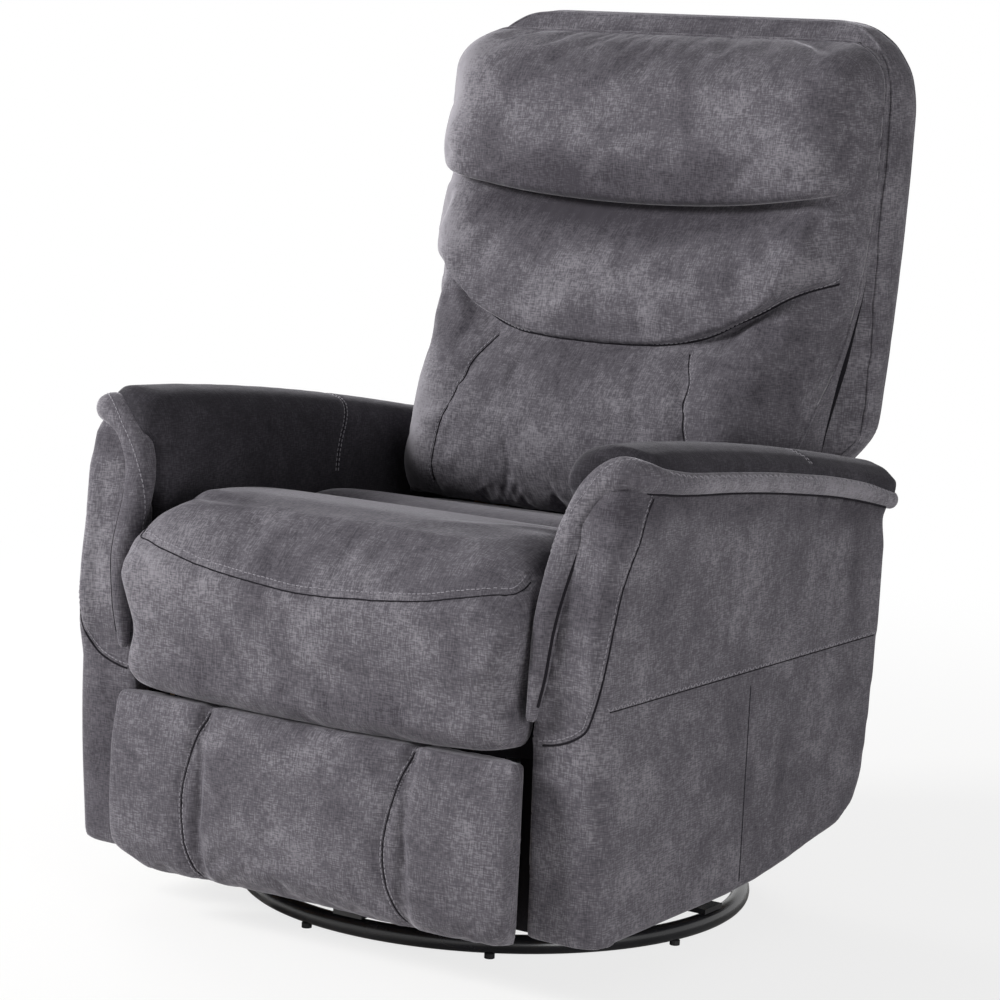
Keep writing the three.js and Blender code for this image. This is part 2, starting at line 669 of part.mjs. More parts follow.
function makeChassis() {
  const frontEnd = -CHASSIS_FRONT_REACH;
  const stopTop = SEAT_RAIL_HEIGHT - STOP_TUBE_RADIUS - GAP - EYE_RADIUS;
  const seatHinge = [SEAT_HINGE_REACH, SEAT_RAIL_HEIGHT];
  const eyes = [-LINK_REACH, LINK_REACH];
  const spans = LEFT_AND_RIGHT.map(({ side }) => bySide(side, chassisLayer));
  const rails = spans.flatMap((span) => [
    strut(span, [frontEnd, chassisHeight], [CHASSIS_REAR_REACH, chassisHeight], EYE_RADIUS),
    ...eyes.map((y) => strut(span, [y, LINK_FOOT_HEIGHT], [y, chassisHeight], EYE_RADIUS)),
    strut(span, [-STOP_REACH, chassisHeight], [-STOP_REACH, stopTop], EYE_RADIUS),
    strut(span, [SEAT_HINGE_REACH, chassisHeight], seatHinge, EYE_RADIUS),
  ]);
  const holes = spans.flatMap((span) => [
    ...eyes.map((y) => pinHole(span, [y, LINK_FOOT_HEIGHT])),
    pinHole(span, seatHinge),
  ]);
  const tubeBottom = chassisHeight + EYE_RADIUS - PLATE / 2;
  const boardReach = frameInner - GAP;
  const tubeFront = -(STOP_REACH + EYE_RADIUS + HINGE_CLEARANCE + CROSS_TUBE_WIDTH);
  const crossTube = box(
    [-boardReach, boardReach],
    [tubeFront, tubeFront + CROSS_TUBE_WIDTH],
    [tubeBottom, tubeBottom + CROSS_TUBE_WIDTH],
  );
  const rearBoard = box(
    [-boardReach, boardReach],
    [rearBoardFront, rearBoardBack],
    [REAR_BOARD_FOOT_HEIGHT, REAR_BOARD_TOP_HEIGHT],
  );
  const rearPanelFront = rearBoardBack + GAP;
  const rearPanel = box(
    [-boardReach, boardReach],
    [rearPanelFront, rearPanelFront + REAR_PANEL_DEPTH],
    [REAR_PANEL_FOOT_HEIGHT, REAR_PANEL_TOP_HEIGHT],
  );
  const arms = LEFT_AND_RIGHT.flatMap(({ side, word }) => {
    const cupReach = [cupFace - OVERRUN, cupFace + CUP_DEPTH + GAP];
    const cupHole = box(cupReach, grown(cupLength, GAP), grown(cupHeight, GAP));
    const panel = makeSidePanel(side);
    return [
      piece(`arm_frame_${word}`, makeFrameBoard(side), "wood"),
      piece(`side_panel_${word}`, side < 0 ? cut(panel, cupHole) : panel, "fabric"),
      piece(`arm_facing_${word}`, makeFacing(side), "fabric"),
      piece(`arm_pad_${word}`, makeArmPad(side), "fabric"),
    ];
  });
  return body(
    piece("chassis_frame", cut(join(crossTube, ...rails), ...holes), "blackSteel"),
    piece("rear_board", rearBoard, "wood"),
    piece("rear_panel", rearPanel, "fabric"),
    arms,
    makeBackHinges(),
    piece("release_cup", makeReleaseCup(), "plastic"),
  );
}

// Places of the back's hinge
const backHinge = [BACK_HINGE_REACH, BACK_HINGE_HEIGHT];
const backBracketLayer = layer(SHELL_FOOT_HALF_WIDTH + GAP);
const hingeLayer = layer(backBracketLayer[1] + GAP);

function makeBackHinges() {
  return LEFT_AND_RIGHT.map(({ side, word }) => {
    const span = bySide(side, hingeLayer);
    const flangeSpan = bySide(side, [hingeLayer[0], hingeLayer[0] + HINGE_FLANGE_WIDTH]);
    const flangeFront = rearBoardBack + GAP;
    const heights = grown([BACK_HINGE_HEIGHT, BACK_HINGE_HEIGHT], EYE_RADIUS);
    const ear = join(
      strut(span, [flangeFront + EYE_RADIUS, BACK_HINGE_HEIGHT], backHinge, EYE_RADIUS),
      box(flangeSpan, [flangeFront, flangeFront + PLATE], heights),
    );
    return piece(`back_hinge_${word}`, cut(ear, pinHole(span, backHinge)), "blackSteel");
  });
}

// Heights at which the shell has its sections
const topCurve = spread(5).map((share) => {
  const rise = Math.sin((share * Math.PI) / 2);
  return BACK_TOP_HEIGHT - SHELL_TOP_RADIUS * (1 - rise);
});
const shellLevels = [
  BACK_FOOT_HEIGHT,
  ...spread(4).map((share) => SHELL_NECK_HEIGHT + share * (SHELL_SHOULDER_HEIGHT - SHELL_NECK_HEIGHT)),
  ...spread(7).slice(0, -1).map((share) => BACK_BEND_HEIGHT + share * (topCurve[0] - BACK_BEND_HEIGHT)),
  ...topCurve,
];

// Rear face of the back's shell at each of them: a straight lean that then bends upright
const shellRearLine = shellLevels.map((z) => {
  const lean = Math.tan(THREE.MathUtils.degToRad(BACK_LEAN_DEGREES));
  const above = Math.min(z - BACK_BEND_HEIGHT, BACK_BEND_LENGTH);
  const bend = above > 0 ? (above * above) / (2 * BACK_BEND_LENGTH) : 0;
  return [z, BACK_REAR_REACH + lean * (above - bend)];
});

function shellRear(z) {
  return fromTable(shellRearLine, z);
}

function shellFront(z) {
  return shellRear(z) - SHELL_DEPTH;
}

// Share of its top radius by which the shell is drawn in at a height
function topDrawShare(z) {
  const intoTop = Math.max(0, z - (BACK_TOP_HEIGHT - SHELL_TOP_RADIUS)) / SHELL_TOP_RADIUS;
  return 1 - Math.sqrt(Math.max(0, 1 - intoTop ** 2));
}

function shellHalfWidth(z) {
  const widening = smoothStep(SHELL_NECK_HEIGHT, SHELL_SHOULDER_HEIGHT, z);
  const wide = SHELL_FOOT_HALF_WIDTH + (SHELL_HALF_WIDTH - SHELL_FOOT_HALF_WIDTH) * widening;
  return wide - SHELL_TOP_RADIUS * topDrawShare(z);
}

// How much of its depth the shell loses at its very top, in front and behind
const SHELL_FRONT_BEVEL_SHARE = 0.5;
const SHELL_REAR_BEVEL_SHARE = 0.17;

// One level of the shell: a rectangle with round corners, thinned by an inset all round
function shellRing(z, inset, frontInset) {
  const halfWidth = shellHalfWidth(z) - inset;
  const bevel = SHELL_DEPTH * topDrawShare(z);
  const front = shellFront(z) + frontInset + bevel * SHELL_FRONT_BEVEL_SHARE;
  const rear = shellRear(z) - inset - bevel * SHELL_REAR_BEVEL_SHARE;
  const radius = Math.max(GAP, Math.min(SHELL_CORNER_RADIUS - inset, (rear - front) / 3));
  const corners = [
    [1, 1],
    [-1, 1],
    [-1, -1],
    [1, -1],
  ];
  return corners.flatMap(([across, along], index) =>
    spread(4).map((share) => {
      const turn = ((index + share) * Math.PI) / 2;
      const middle = [across * (halfWidth - radius), along > 0 ? rear - radius : front + radius];
      return [middle[0] + radius * Math.cos(turn), middle[1] + radius * Math.sin(turn), z];
    }),
  );
}

function makeShell() {
  const skin = loft(shellLevels.map((z) => shellRing(z, 0, 0)), [0, 1]);
  const floor = BACK_FOOT_HEIGHT + SHELL_WALL;
  const inside = [floor, ...shellLevels.filter((z) => z > floor && z < topCurve[0]), topCurve[0]];
  const pocket = loft(inside.map((z) => shellRing(z, SHELL_WALL, -SHELL_CORNER_RADIUS - OVERRUN)), [0, 1]);
  return cut(skin, pocket);
}

// Timber of the back's frame, which follows the bend of the shell
function backTimber([x0, x1], [z0, z1]) {
  const levels = [z0, ...shellLevels.filter((z) => z > z0 && z < z1), z1];
  const rings = levels.map((z) => {
    const rear = shellRear(z) - SHELL_WALL - GAP;
    return [
      [x0, rear - POST_DEPTH, z],
      [x1, rear - POST_DEPTH, z],
      [x1, rear, z],
      [x0, rear, z],
    ];
  });
  return loft(rings, [0, 1]);
}

// Across the seat cushion: shares of the half width
const SEAT_ACROSS_SHARES = [-1, -0.985, -0.94, -0.84, -0.66, -0.44, -0.22, 0];

// Across the back cushions: shares of the half width, closer at the ends and at the sewn channels
const CUSHION_ACROSS_SHARES = [-1, -0.985, -0.93, -0.8, -0.665, -0.59, -0.515, -0.35, -0.17, 0];

function mirroredShares(shares) {
  return [...shares, ...shares.slice(0, -1).reverse().map((share) => -share)];
}

// Half width of the back cushions at a height
function cushionHalfWidth(z) {
  const widening = smoothStep(ARM_FRONT_HEIGHT, ARM_FRONT_HEIGHT + CUSHION_WIDENING_HEIGHT, z);
  const wide = LUMBAR_HALF_WIDTH + (CUSHION_HALF_WIDTH - LUMBAR_HALF_WIDTH) * widening;
  const intoTop = Math.min(1, Math.max(0, z - (cushionTop - CUSHION_TOP_RADIUS)) / CUSHION_TOP_RADIUS);
  return wide - CUSHION_TOP_RADIUS * (1 - Math.sqrt(1 - intoTop ** 2));
}

// Depth of the padding in front of the shell: [share of the height from the lumbar's foot to the top,
// share of the full depth in the middle, share of it at the sides]
const PADDING_SHARES = [
  [0, 0.9, 0.93],
  [0.09, 0.98, 1],
  [0.2, 1, 1],
  [0.28, 0.93, 0.96],
  [0.35, 0.8, 0.78],
  [0.41, 0.68, 0.62],
  [0.5, 0.68, 0.42],
  [0.58, 0.64, 0.31],
  [0.655, 0.54, 0.24],
  [0.7, 0.53, 0.2],
  [0.8, 0.5, 0.19],
  [0.9, 0.44, 0.16],
  [1, 0.2, 0.08],
];

function paddingDepth(z, across) {
  const share = (z - LUMBAR_FOOT_HEIGHT) / (cushionTop - LUMBAR_FOOT_HEIGHT);
  const middle = fromTable(PADDING_SHARES.map(([at, value]) => [at, value]), share);
  const edge = fromTable(PADDING_SHARES.map(([at, , value]) => [at, value]), share);
  const flatness = 5;
  return CUSHION_DEPTH * (edge + (middle - edge) * (1 - Math.abs(across) ** flatness));
}

// Depth of a back cushion at its upper and lower edges, as a share of its full depth
const CUSHION_EDGE_SHARE = 0.45;

// Cushion of the back between a lower and an upper edge, each a height for a share of the way across
function makeBackCushion({ lower, upper, seamReach, seamDepth, footShare = CUSHION_EDGE_SHARE }) {
  const upShares = [0, 0.03, 0.12, 0.28, 0.45, 0.62, 0.78, 0.9, 0.97, 1];
  const rearShares = [1, 0.66, 0.33, 0];
  const endDrawShare = 0.16;
  const seamHalfShare = 0.01;
  const flatness = 3.5;
  const rings = mirroredShares(CUSHION_ACROSS_SHARES).map((across) => {
    const [low, high] = [lower(across), upper(across)];
    const endDraw = 1 - endDrawShare * sideShare(across);
    const fromSeam = seamReach ? Math.abs(Math.abs(across) - seamReach / LUMBAR_HALF_WIDTH) : Infinity;
    const seam = fromSeam < seamHalfShare ? seamDepth : 0;
    const at = (z) => across * cushionHalfWidth(z);
    const front = upShares.map((up) => {
      const z = low + up * (high - low);
      const swell = Math.sqrt(1 - Math.abs(2 * up - 1) ** flatness);
      const edgeShare = up < 0.5 ? footShare : CUSHION_EDGE_SHARE;
      const depth = paddingDepth(z, across) * endDraw * (edgeShare + (1 - edgeShare) * swell) - seam * swell;
      return [at(z), shellFront(z) - GAP - depth, z];
    });
    const rear = rearShares.map((up) => {
      const z = low + up * (high - low);
      return [at(z), shellFront(z) - GAP, z];
    });
    return [...front, ...rear];
  });
  return loft(rings, [1, 2]);
}

function creaseHeight(across) {
  return creaseMiddle + CREASE_RISE * Math.abs(across) ** 2;
}

function yokeHeight(across) {
  const flat = YOKE_FLAT_REACH / CUSHION_HALF_WIDTH;
  return yokeMiddle + YOKE_RISE * Math.sin((Math.PI / 2) * smoothStep(flat, 1, Math.abs(across)));
}

function makeBack() {
  const shellInner = SHELL_FOOT_HALF_WIDTH - SHELL_WALL - POST_INSET;
  const floor = BACK_FOOT_HEIGHT + SHELL_WALL + GAP;
  const roof = topCurve[0] - GAP;
  const posts = LEFT_AND_RIGHT.map(({ side, word }) => {
    const span = bySide(side, [shellInner - POST_WIDTH, shellInner]);
    return piece(`back_post_${word}`, backTimber(span, [floor, roof]), "wood");
  });
  const railReach = shellInner - POST_WIDTH - GAP;
  const rails = [
    ["lower", floor],
    ["upper", roof - RAIL_HEIGHT],
  ].map(([word, z]) => piece(`back_rail_${word}`, backTimber([-railReach, railReach], [z, z + RAIL_HEIGHT]), "wood"));
  const bracketTop = [(shellFront(BACK_BRACKET_HEIGHT) + shellRear(BACK_BRACKET_HEIGHT)) / 2, BACK_BRACKET_HEIGHT];
  const brackets = LEFT_AND_RIGHT.map(({ side, word }) => {
    const span = bySide(side, backBracketLayer);
    const bracket = join(
      strut(span, backHinge, bracketTop, BACK_BRACKET_HALF_WIDTH),
      pinInto(span, bySide(side, hingeLayer), backHinge),
    );
    return piece(`back_bracket_${word}`, bracket, "zincSteel");
  });
  const headrest = makeBackCushion({
    lower: (across) => creaseHeight(across) + CUSHION_SEAM,
    upper: () => cushionTop,
  });
  const shoulder = makeBackCushion({
    lower: (across) => yokeHeight(across) + CUSHION_SEAM,
    upper: creaseHeight,
  });
  const lumbar = makeBackCushion({
    lower: () => LUMBAR_FOOT_HEIGHT,
    upper: yokeHeight,
    seamReach: LUMBAR_SEAM_REACH,
    seamDepth: LUMBAR_SEAM_DEPTH,
    footShare: 0.7,
  });
  return body(
    piece("back_shell", makeShell(), "fabric"),
    posts,
    rails,
    brackets,
    piece("headrest_cushion", headrest, "fabric"),
    piece("shoulder_cushion", shoulder, "fabric"),
    piece("lumbar_cushion", lumbar, "fabric"),
  );
}

// Front of the seat's roll, from its lip up: [share of the roll's depth behind its front, share of its height]
const SEAT_ROLL_SHARES = [
  [0.32, 0.1],
  [0.09, 0.4],
  [0, 0.6],
  [0.09, 0.74],
  [0.29, 0.86],
  [0.72, 0.96],
];

// Top of the seat behind its roll: [share of the way from the front beam to the rear, share of the height]
const SEAT_TOP_SHARES = [
  [0.07, 1],
  [0.23, 0.98],
  [0.42, 0.92],
  [0.65, 0.85],
  [0.88, 0.78],
  [0.965, 0.76],
  [1, 0.68],
];

// Outline that runs clockwise, with every point moved inwards by a distance
function drawnIn(outline, distance) {
  return outline.map(([across, up], index) => {
    const [before, after] = [outline.at(index - 1), outline[(index + 1) % outline.length]];
    const along = new THREE.Vector2(after[0] - before[0], after[1] - before[1]).normalize();
    return [across + along.y * distance, up - along.x * distance];
  });
}

// Share of its draw-in that a cushion has at a share of the way from its middle to its side
function sideShare(across) {
  const sharpness = 10;
  return 1 - Math.sqrt(1 - Math.min(1, Math.abs(across)) ** sharpness);
}

function makeSeatCushion() {
  const halfWidth = SEAT_HALF_WIDTH - SIDE_CLEARANCE;
  const height = SEAT_ROLL_HEIGHT - SEAT_LIP_HEIGHT;
  const rollBack = frontBeamFront - GAP;
  const lipShare = 0.55;
  const rollDepth = SEAT_FRONT_REACH + rollBack;
  const drawIn = SEAT_DRAW_IN_SHARE * rollDepth;
  const topLength = SEAT_REAR_REACH - rollBack;
  const at = (y, up) => [y, SEAT_LIP_HEIGHT + up * height];
  const roll = SEAT_ROLL_SHARES.map(([back, up]) => at(back * rollDepth - SEAT_FRONT_REACH, up));
  const top = SEAT_TOP_SHARES.map(([back, up]) => at(rollBack + back * topLength, up));
  const outline = [
    [SEAT_REAR_REACH, seatCushionBottom],
    [rollBack, seatCushionBottom],
    [rollBack, SEAT_LIP_HEIGHT],
    [rollBack - lipShare * rollDepth, SEAT_LIP_HEIGHT],
    ...roll,
    ...top,
  ];
  const rings = mirroredShares(SEAT_ACROSS_SHARES).map((across) =>
    drawnIn(outline, drawIn * sideShare(across)).map(([y, z]) => [across * halfWidth, y, z]),
  );
  return loft(rings, [1, 2]);
}

// Wave spring from the front beam to the rear beam
function makeSpring(x) {
  const z = seatBeamTop + GAP + SPRING_WIRE_RADIUS;
  const [front, rear] = [frontBeamFront + SPRING_WIRE_RADIUS, rearBeamBack - SPRING_WIRE_RADIUS];
  const steps = SPRING_WAVES * 4;
  const points = spread(steps + 1).map((share, index) => {
    const swing = Math.sin((index * Math.PI) / 2) * SPRING_HALF_WIDTH;
    return new THREE.Vector3(x + swing, front + share * (rear - front), z);
  });
  const section = new THREE.Shape();
  section.absarc(0, 0, SPRING_WIRE_RADIUS, 0, 2 * Math.PI, false);
  const path = new THREE.CatmullRomCurve3(points);
  return new THREE.ExtrudeGeometry(section, { steps, extrudePath: path, curveSegments: 3 });
}

function makeSeat() {
  const hinge = [SEAT_HINGE_REACH, SEAT_RAIL_HEIGHT];
  const shoulder = [-FOOTREST_PIVOT_REACH, SEAT_RAIL_HEIGHT];
  const spans = LEFT_AND_RIGHT.map(({ side }) => bySide(side, seatLayer));
  const rails = LEFT_AND_RIGHT.flatMap(({ side }, index) => [
    strut(spans[index], hinge, shoulder, EYE_RADIUS),
    strut(spans[index], shoulder, footrestPivot, EYE_RADIUS),
    pinInto(spans[index], bySide(side, chassisLayer), hinge),
  ]);
  const holes = spans.map((span) => pinHole(span, footrestPivot));
  const reach = SEAT_HALF_WIDTH - SIDE_CLEARANCE - BOARD / 2;
  const beamSpan = [seatBeamBottom, seatBeamTop];
  const frontBeam = box([-reach, reach], [frontBeamFront, frontBeamBack], beamSpan);
  const rearBeam = box([-reach, reach], [rearBeamBack - SEAT_BEAM_WIDTH, rearBeamBack], beamSpan);
  const tubeReach = seatLayer[1] - PLATE / 2;
  const stopTube = rodAlongX(STOP_TUBE_RADIUS, [-tubeReach, tubeReach], [-STOP_REACH, SEAT_RAIL_HEIGHT]);
  const springReach = reach - SPRING_INSET;
  const springs = spread(SPRING_COUNT).map((share, index) =>
    piece(`seat_spring_${index + 1}`, makeSpring(springReach * (2 * share - 1)), "zincSteel"),
  );
  return body(
    piece("seat_frame", cut(join(stopTube, ...rails), ...holes), "blackSteel"),
    piece("seat_beam_front", frontBeam, "wood"),
    piece("seat_beam_rear", rearBeam, "wood"),
    springs,
    piece("seat_cushion", makeSeatCushion(), "fabric"),
  );
}

// Pivots of the footrest's links, folded
const footrestPivot = [-FOOTREST_PIVOT_REACH, FOOTREST_PIVOT_HEIGHT];
const fold = THREE.MathUtils.degToRad(FOOTREST_FOLD_DEGREES);
const footrestKnee = [
  footrestPivot[0] + FOOTREST_LINK_LENGTH * Math.sin(fold),
  footrestPivot[1] - FOOTREST_LINK_LENGTH * Math.cos(fold),
];
const footrestLayers = { lower: chassisLayer, upper: linkLayer, bracket: bracketLayer };

function makeLowerFootrestLinks() {
  return body(
    LEFT_AND_RIGHT.map(({ side, word }) => {
      const span = bySide(side, footrestLayers.lower);
      const link = join(
        strut(span, footrestPivot, footrestKnee, LINK_HALF_WIDTH),
        pinInto(span, bySide(side, seatLayer), footrestPivot),
      );
      return piece(`footrest_lower_link_${word}`, cut(link, pinHole(span, footrestKnee)), "zincSteel");
    }),
  );
}

function makeUpperFootrestLinks() {
  return body(
    LEFT_AND_RIGHT.map(({ side, word }) => {
      const span = bySide(side, footrestLayers.upper);
      const link = join(
        strut(span, footrestKnee, footrestPivot, LINK_HALF_WIDTH),
        pinInto(span, bySide(side, footrestLayers.lower), footrestKnee),
      );
      return piece(`footrest_upper_link_${word}`, cut(link, pinHole(span, footrestPivot)), "zincSteel");
    }),
  );
}

// Section of the footrest pad: [share of its depth forwards, share of its height]
const FOOTREST_SHARES = [
  [0, 0],
  [0.45, 0.01],
  [0.8, 0.06],
  [0.96, 0.2],
  [1, 0.42],
  [1, 0.62],
  [0.95, 0.82],
  [0.78, 0.95],
  [0.4, 1],
  [0, 1],
];

// Width of the channel at each seam of the footrest, as a share of the seam's own reach
const SEAM_LEAD_SHARE = 0.1;

function makeFootrestPad(back) {
  const halfWidth = SEAT_HALF_WIDTH - SIDE_CLEARANCE;
  const height = FOOTREST_TOP_HEIGHT - FOOTREST_FOOT_HEIGHT;
  const seam = FOOTREST_SEAM_REACH / halfWidth;
  const endDrawShare = 0.3;
  const heightDrawShare = 0.1;
  const endSharpness = 24;
  const lead = seam * SEAM_LEAD_SHARE;
  const stations = [-1, -0.985, -0.93, -0.78, -seam - lead, -seam, -seam + lead, -seam / 2, 0];
  const rings = mirroredShares(stations).map((across) => {
    const atSeam = Math.abs(Math.abs(across) - seam) < lead / 2;
    const ends = 1 - endDrawShare * Math.abs(across) ** endSharpness;
    const depth = FOOTREST_PAD_DEPTH * ends - (atSeam ? FOOTREST_SEAM_DEPTH : 0);
    const middle = (FOOTREST_TOP_HEIGHT + FOOTREST_FOOT_HEIGHT) / 2;
    return FOOTREST_SHARES.map(([out, up]) => {
      const z = FOOTREST_FOOT_HEIGHT + up * height;
      return [across * halfWidth, back - out * depth, middle + (z - middle) * (1 - heightDrawShare * (1 - ends))];
    });
  });
  return loft(rings, [1, 2]);
}

function makeFootrest() {
  const bracketFront = footrestPivot[0] - BRACKET_SETBACK;
  const bracketMiddle = bracketFront + LINK_HALF_WIDTH;
  const brackets = LEFT_AND_RIGHT.map(({ side, word }) => {
    const span = bySide(side, footrestLayers.bracket);
    const low = (FOOTREST_TOP_HEIGHT + FOOTREST_FOOT_HEIGHT) / 2;
    const bracket = join(
      strut(span, footrestPivot, [bracketMiddle, FOOTREST_PIVOT_HEIGHT], LINK_HALF_WIDTH),
      strut(span, [bracketMiddle, FOOTREST_PIVOT_HEIGHT], [bracketMiddle, low], LINK_HALF_WIDTH),
      pinInto(span, bySide(side, footrestLayers.upper), footrestPivot),
    );
    return piece(`footrest_bracket_${word}`, bracket, "zincSteel");
  });
  const boardBack = bracketFront - GAP;
  const boardFront = boardBack - FOOTREST_BOARD;
  const reach = SEAT_HALF_WIDTH - SIDE_CLEARANCE - BOARD;
  const board = box([-reach, reach], [boardFront, boardBack], [
    FOOTREST_FOOT_HEIGHT + FOOTREST_BOARD,
    FOOTREST_TOP_HEIGHT - FOOTREST_BOARD,
  ]);
  return body(
    brackets,
    piece("footrest_board", board, "wood"),
    piece("footrest_pad", makeFootrestPad(boardFront - GAP), "fabric"),
  );
}

const recliner = body(
  makeBase(),
  makeTurntable(),
  makeGlideLinks("front", -LINK_REACH),
  makeGlideLinks("rear", LINK_REACH),
  makeChassis(),
  body(piece("release_paddle", makePaddle(), "plastic")),
  makeSeat(),
  makeBack(),
  makeLowerFootrestLinks(),
  makeUpperFootrestLinks(),
  makeFootrest(),
);

export default recliner;
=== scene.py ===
"""Looks of the swivel glider recliner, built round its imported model.

Metres, +Z up, the sitter faces -Y, and left and right are the sitter's (left is +X).
"""

import logging
import math
from dataclasses import dataclass, field, replace
from enum import Enum
from typing import Iterable, Sequence

import bpy
import numpy as np
from mathutils import Matrix, Vector
from mathutils.bvhtree import BVHTree


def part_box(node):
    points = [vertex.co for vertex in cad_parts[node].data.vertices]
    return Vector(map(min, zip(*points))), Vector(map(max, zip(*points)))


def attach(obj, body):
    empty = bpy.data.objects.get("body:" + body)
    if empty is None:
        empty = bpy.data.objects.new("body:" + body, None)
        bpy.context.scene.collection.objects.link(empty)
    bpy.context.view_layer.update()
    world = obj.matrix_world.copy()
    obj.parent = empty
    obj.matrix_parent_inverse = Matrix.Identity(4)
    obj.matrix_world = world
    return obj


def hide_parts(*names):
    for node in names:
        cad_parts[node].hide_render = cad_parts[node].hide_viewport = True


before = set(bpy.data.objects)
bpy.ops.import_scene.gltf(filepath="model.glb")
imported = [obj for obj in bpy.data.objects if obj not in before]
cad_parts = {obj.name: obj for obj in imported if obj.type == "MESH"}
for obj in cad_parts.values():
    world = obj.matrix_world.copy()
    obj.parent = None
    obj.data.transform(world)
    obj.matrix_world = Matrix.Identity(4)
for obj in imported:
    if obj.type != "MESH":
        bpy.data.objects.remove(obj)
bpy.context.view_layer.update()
MM = 0.001
TINY = 1e-9
WHOLE = (0.0, 1.0)
SIDEWAYS = (0.31, 0.17, 0.94)  # a direction that no tube here runs along
LOG = logging.getLogger("recliner")
Points = np.ndarray
Range = tuple[float, float]
Place = tuple[float, float, float]
Mesh = bpy.types.Mesh
Tree = bpy.types.NodeTree
Node = bpy.types.Node
Socket = bpy.types.NodeSocket


class Body(str, Enum):
    """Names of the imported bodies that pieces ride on."""

    BASE = "base"
    TURNTABLE = "turntable"
    CHASSIS = "chassis"
    PADDLE = "paddle"
    SEAT = "seat"
    BACK = "back"
    FOOTREST = "footrest"


class Side(Enum):
    """Sides of the chair, as signs of X."""

    LEFT = 1
    RIGHT = -1

    @property
    def word(self) -> str:
        """Name of the side in piece and node names."""
        return self.name.lower()


# Colour and shader helpers


def linear(hex_colour: str) -> tuple[float, float, float, float]:
    """Turns an sRGB hex colour into linear RGBA.

    Args:
        hex_colour: six hex digits, with or without a leading hash.

    Returns:
        The linear red, green and blue, and an alpha of one.
    """
    digits = hex_colour.lstrip("#")
    channels = [int(digits[place:place + 2], 16) / 255 for place in (0, 2, 4)]
    values = [c / 12.92 if c <= 0.04045 else ((c + 0.055) / 1.055) ** 2.4 for c in channels]
    return (*values, 1.0)


def set_sockets(tree: Tree, node: Node, inputs: dict) -> None:
    """Gives a node's sockets their values or links.

    Args:
        tree: the node tree.
        node: the node.
        inputs: socket names or places, each with a value or with the socket to link to it.
    """
    for key, value in inputs.items():
        if isinstance(value, Socket):
            tree.links.new(value, node.inputs[key])
        else:
            node.inputs[key].default_value = value


def add_node(tree: Tree, kind: str, inputs: dict | None = None, **settings) -> Node:
    """Adds a shader node with its settings and links.

    Args:
        tree: the node tree that gets the node.
        kind: the node's type name, without its ShaderNode prefix.
        inputs: its sockets, as set_sockets takes them.
        settings: attributes of the node itself.

    Returns:
        The new node.
    """
    node = tree.nodes.new(f"ShaderNode{kind}")
    for key, value in settings.items():
        setattr(node, key, value)
    set_sockets(tree, node, inputs or {})
    return node


def own_place(tree: Tree) -> Socket:
    """Returns the object's own coordinates in metres."""
    return add_node(tree, "TexCoord").outputs["Object"]


def combined(tree: Tree, operation: str, *values: Socket | float) -> Socket:
    """Returns the sum, product or the like of some values and sockets."""
    return add_node(tree, "Math", dict(enumerate(values)), operation=operation).outputs[0]


def noise(tree: Tree, place: Socket, size: float, detail: float = 2.0, distortion: float = 0.0) -> Socket:
    """Returns cloudy noise.

    Args:
        tree: the node tree.
        place: the coordinates.
        size: the size of its lumps in metres.
        detail: how many finer sizes it adds.
        distortion: how much it swirls.

    Returns:
        A value about one half.
    """
    inputs = {"Vector": place, "Scale": 1 / size, "Detail": detail, "Distortion": distortion}
    return add_node(tree, "TexNoise", inputs).outputs[0]


def spread(tree: Tree, value: Socket, source: Range = WHOLE, target: Range = WHOLE) -> Socket:
    """Returns a value stretched from one range to another."""
    ends = zip(("From Min", "From Max", "To Min", "To Max"), (*source, *target))
    return add_node(tree, "MapRange", {"Value": value, **dict(ends)}).outputs[0]


def relief(tree: Tree, height: Socket, strength: float, distance: float) -> Socket:
    """Returns a normal that rises and falls with a height, over a distance in metres."""
    return add_node(tree, "Bump", {"Height": height, "Strength": strength, "Distance": distance}).outputs[0]


def tint(tree: Tree, share: Socket, one: str, two: str) -> Socket:
    """Returns a colour between two sRGB hex colours."""
    return add_node(tree, "MixRGB", {0: share, 1: linear(one), 2: linear(two)}).outputs[0]


@dataclass(frozen=True)
class Finish:
    """A surface of the chair: what it is made of and how it was made.

    Each finish writes its own nodes in paint(), from real sizes in metres.
    """

    name: str
    slot: str

    def paint(self, tree: Tree, shader: Node) -> None:
        """Writes the finish's nodes.

        Args:
            tree: the material's node tree.
            shader: its Principled BSDF.
        """
        raise NotImplementedError

    def material(self) -> bpy.types.Material:
        """Returns the finish's material, made on its first use."""
        found = bpy.data.materials.get(self.name)
        if found:
            return found
        made = bpy.data.materials.new(self.name)
        made.use_nodes = True
        self.paint(made.node_tree, made.node_tree.nodes["Principled BSDF"])
        return made


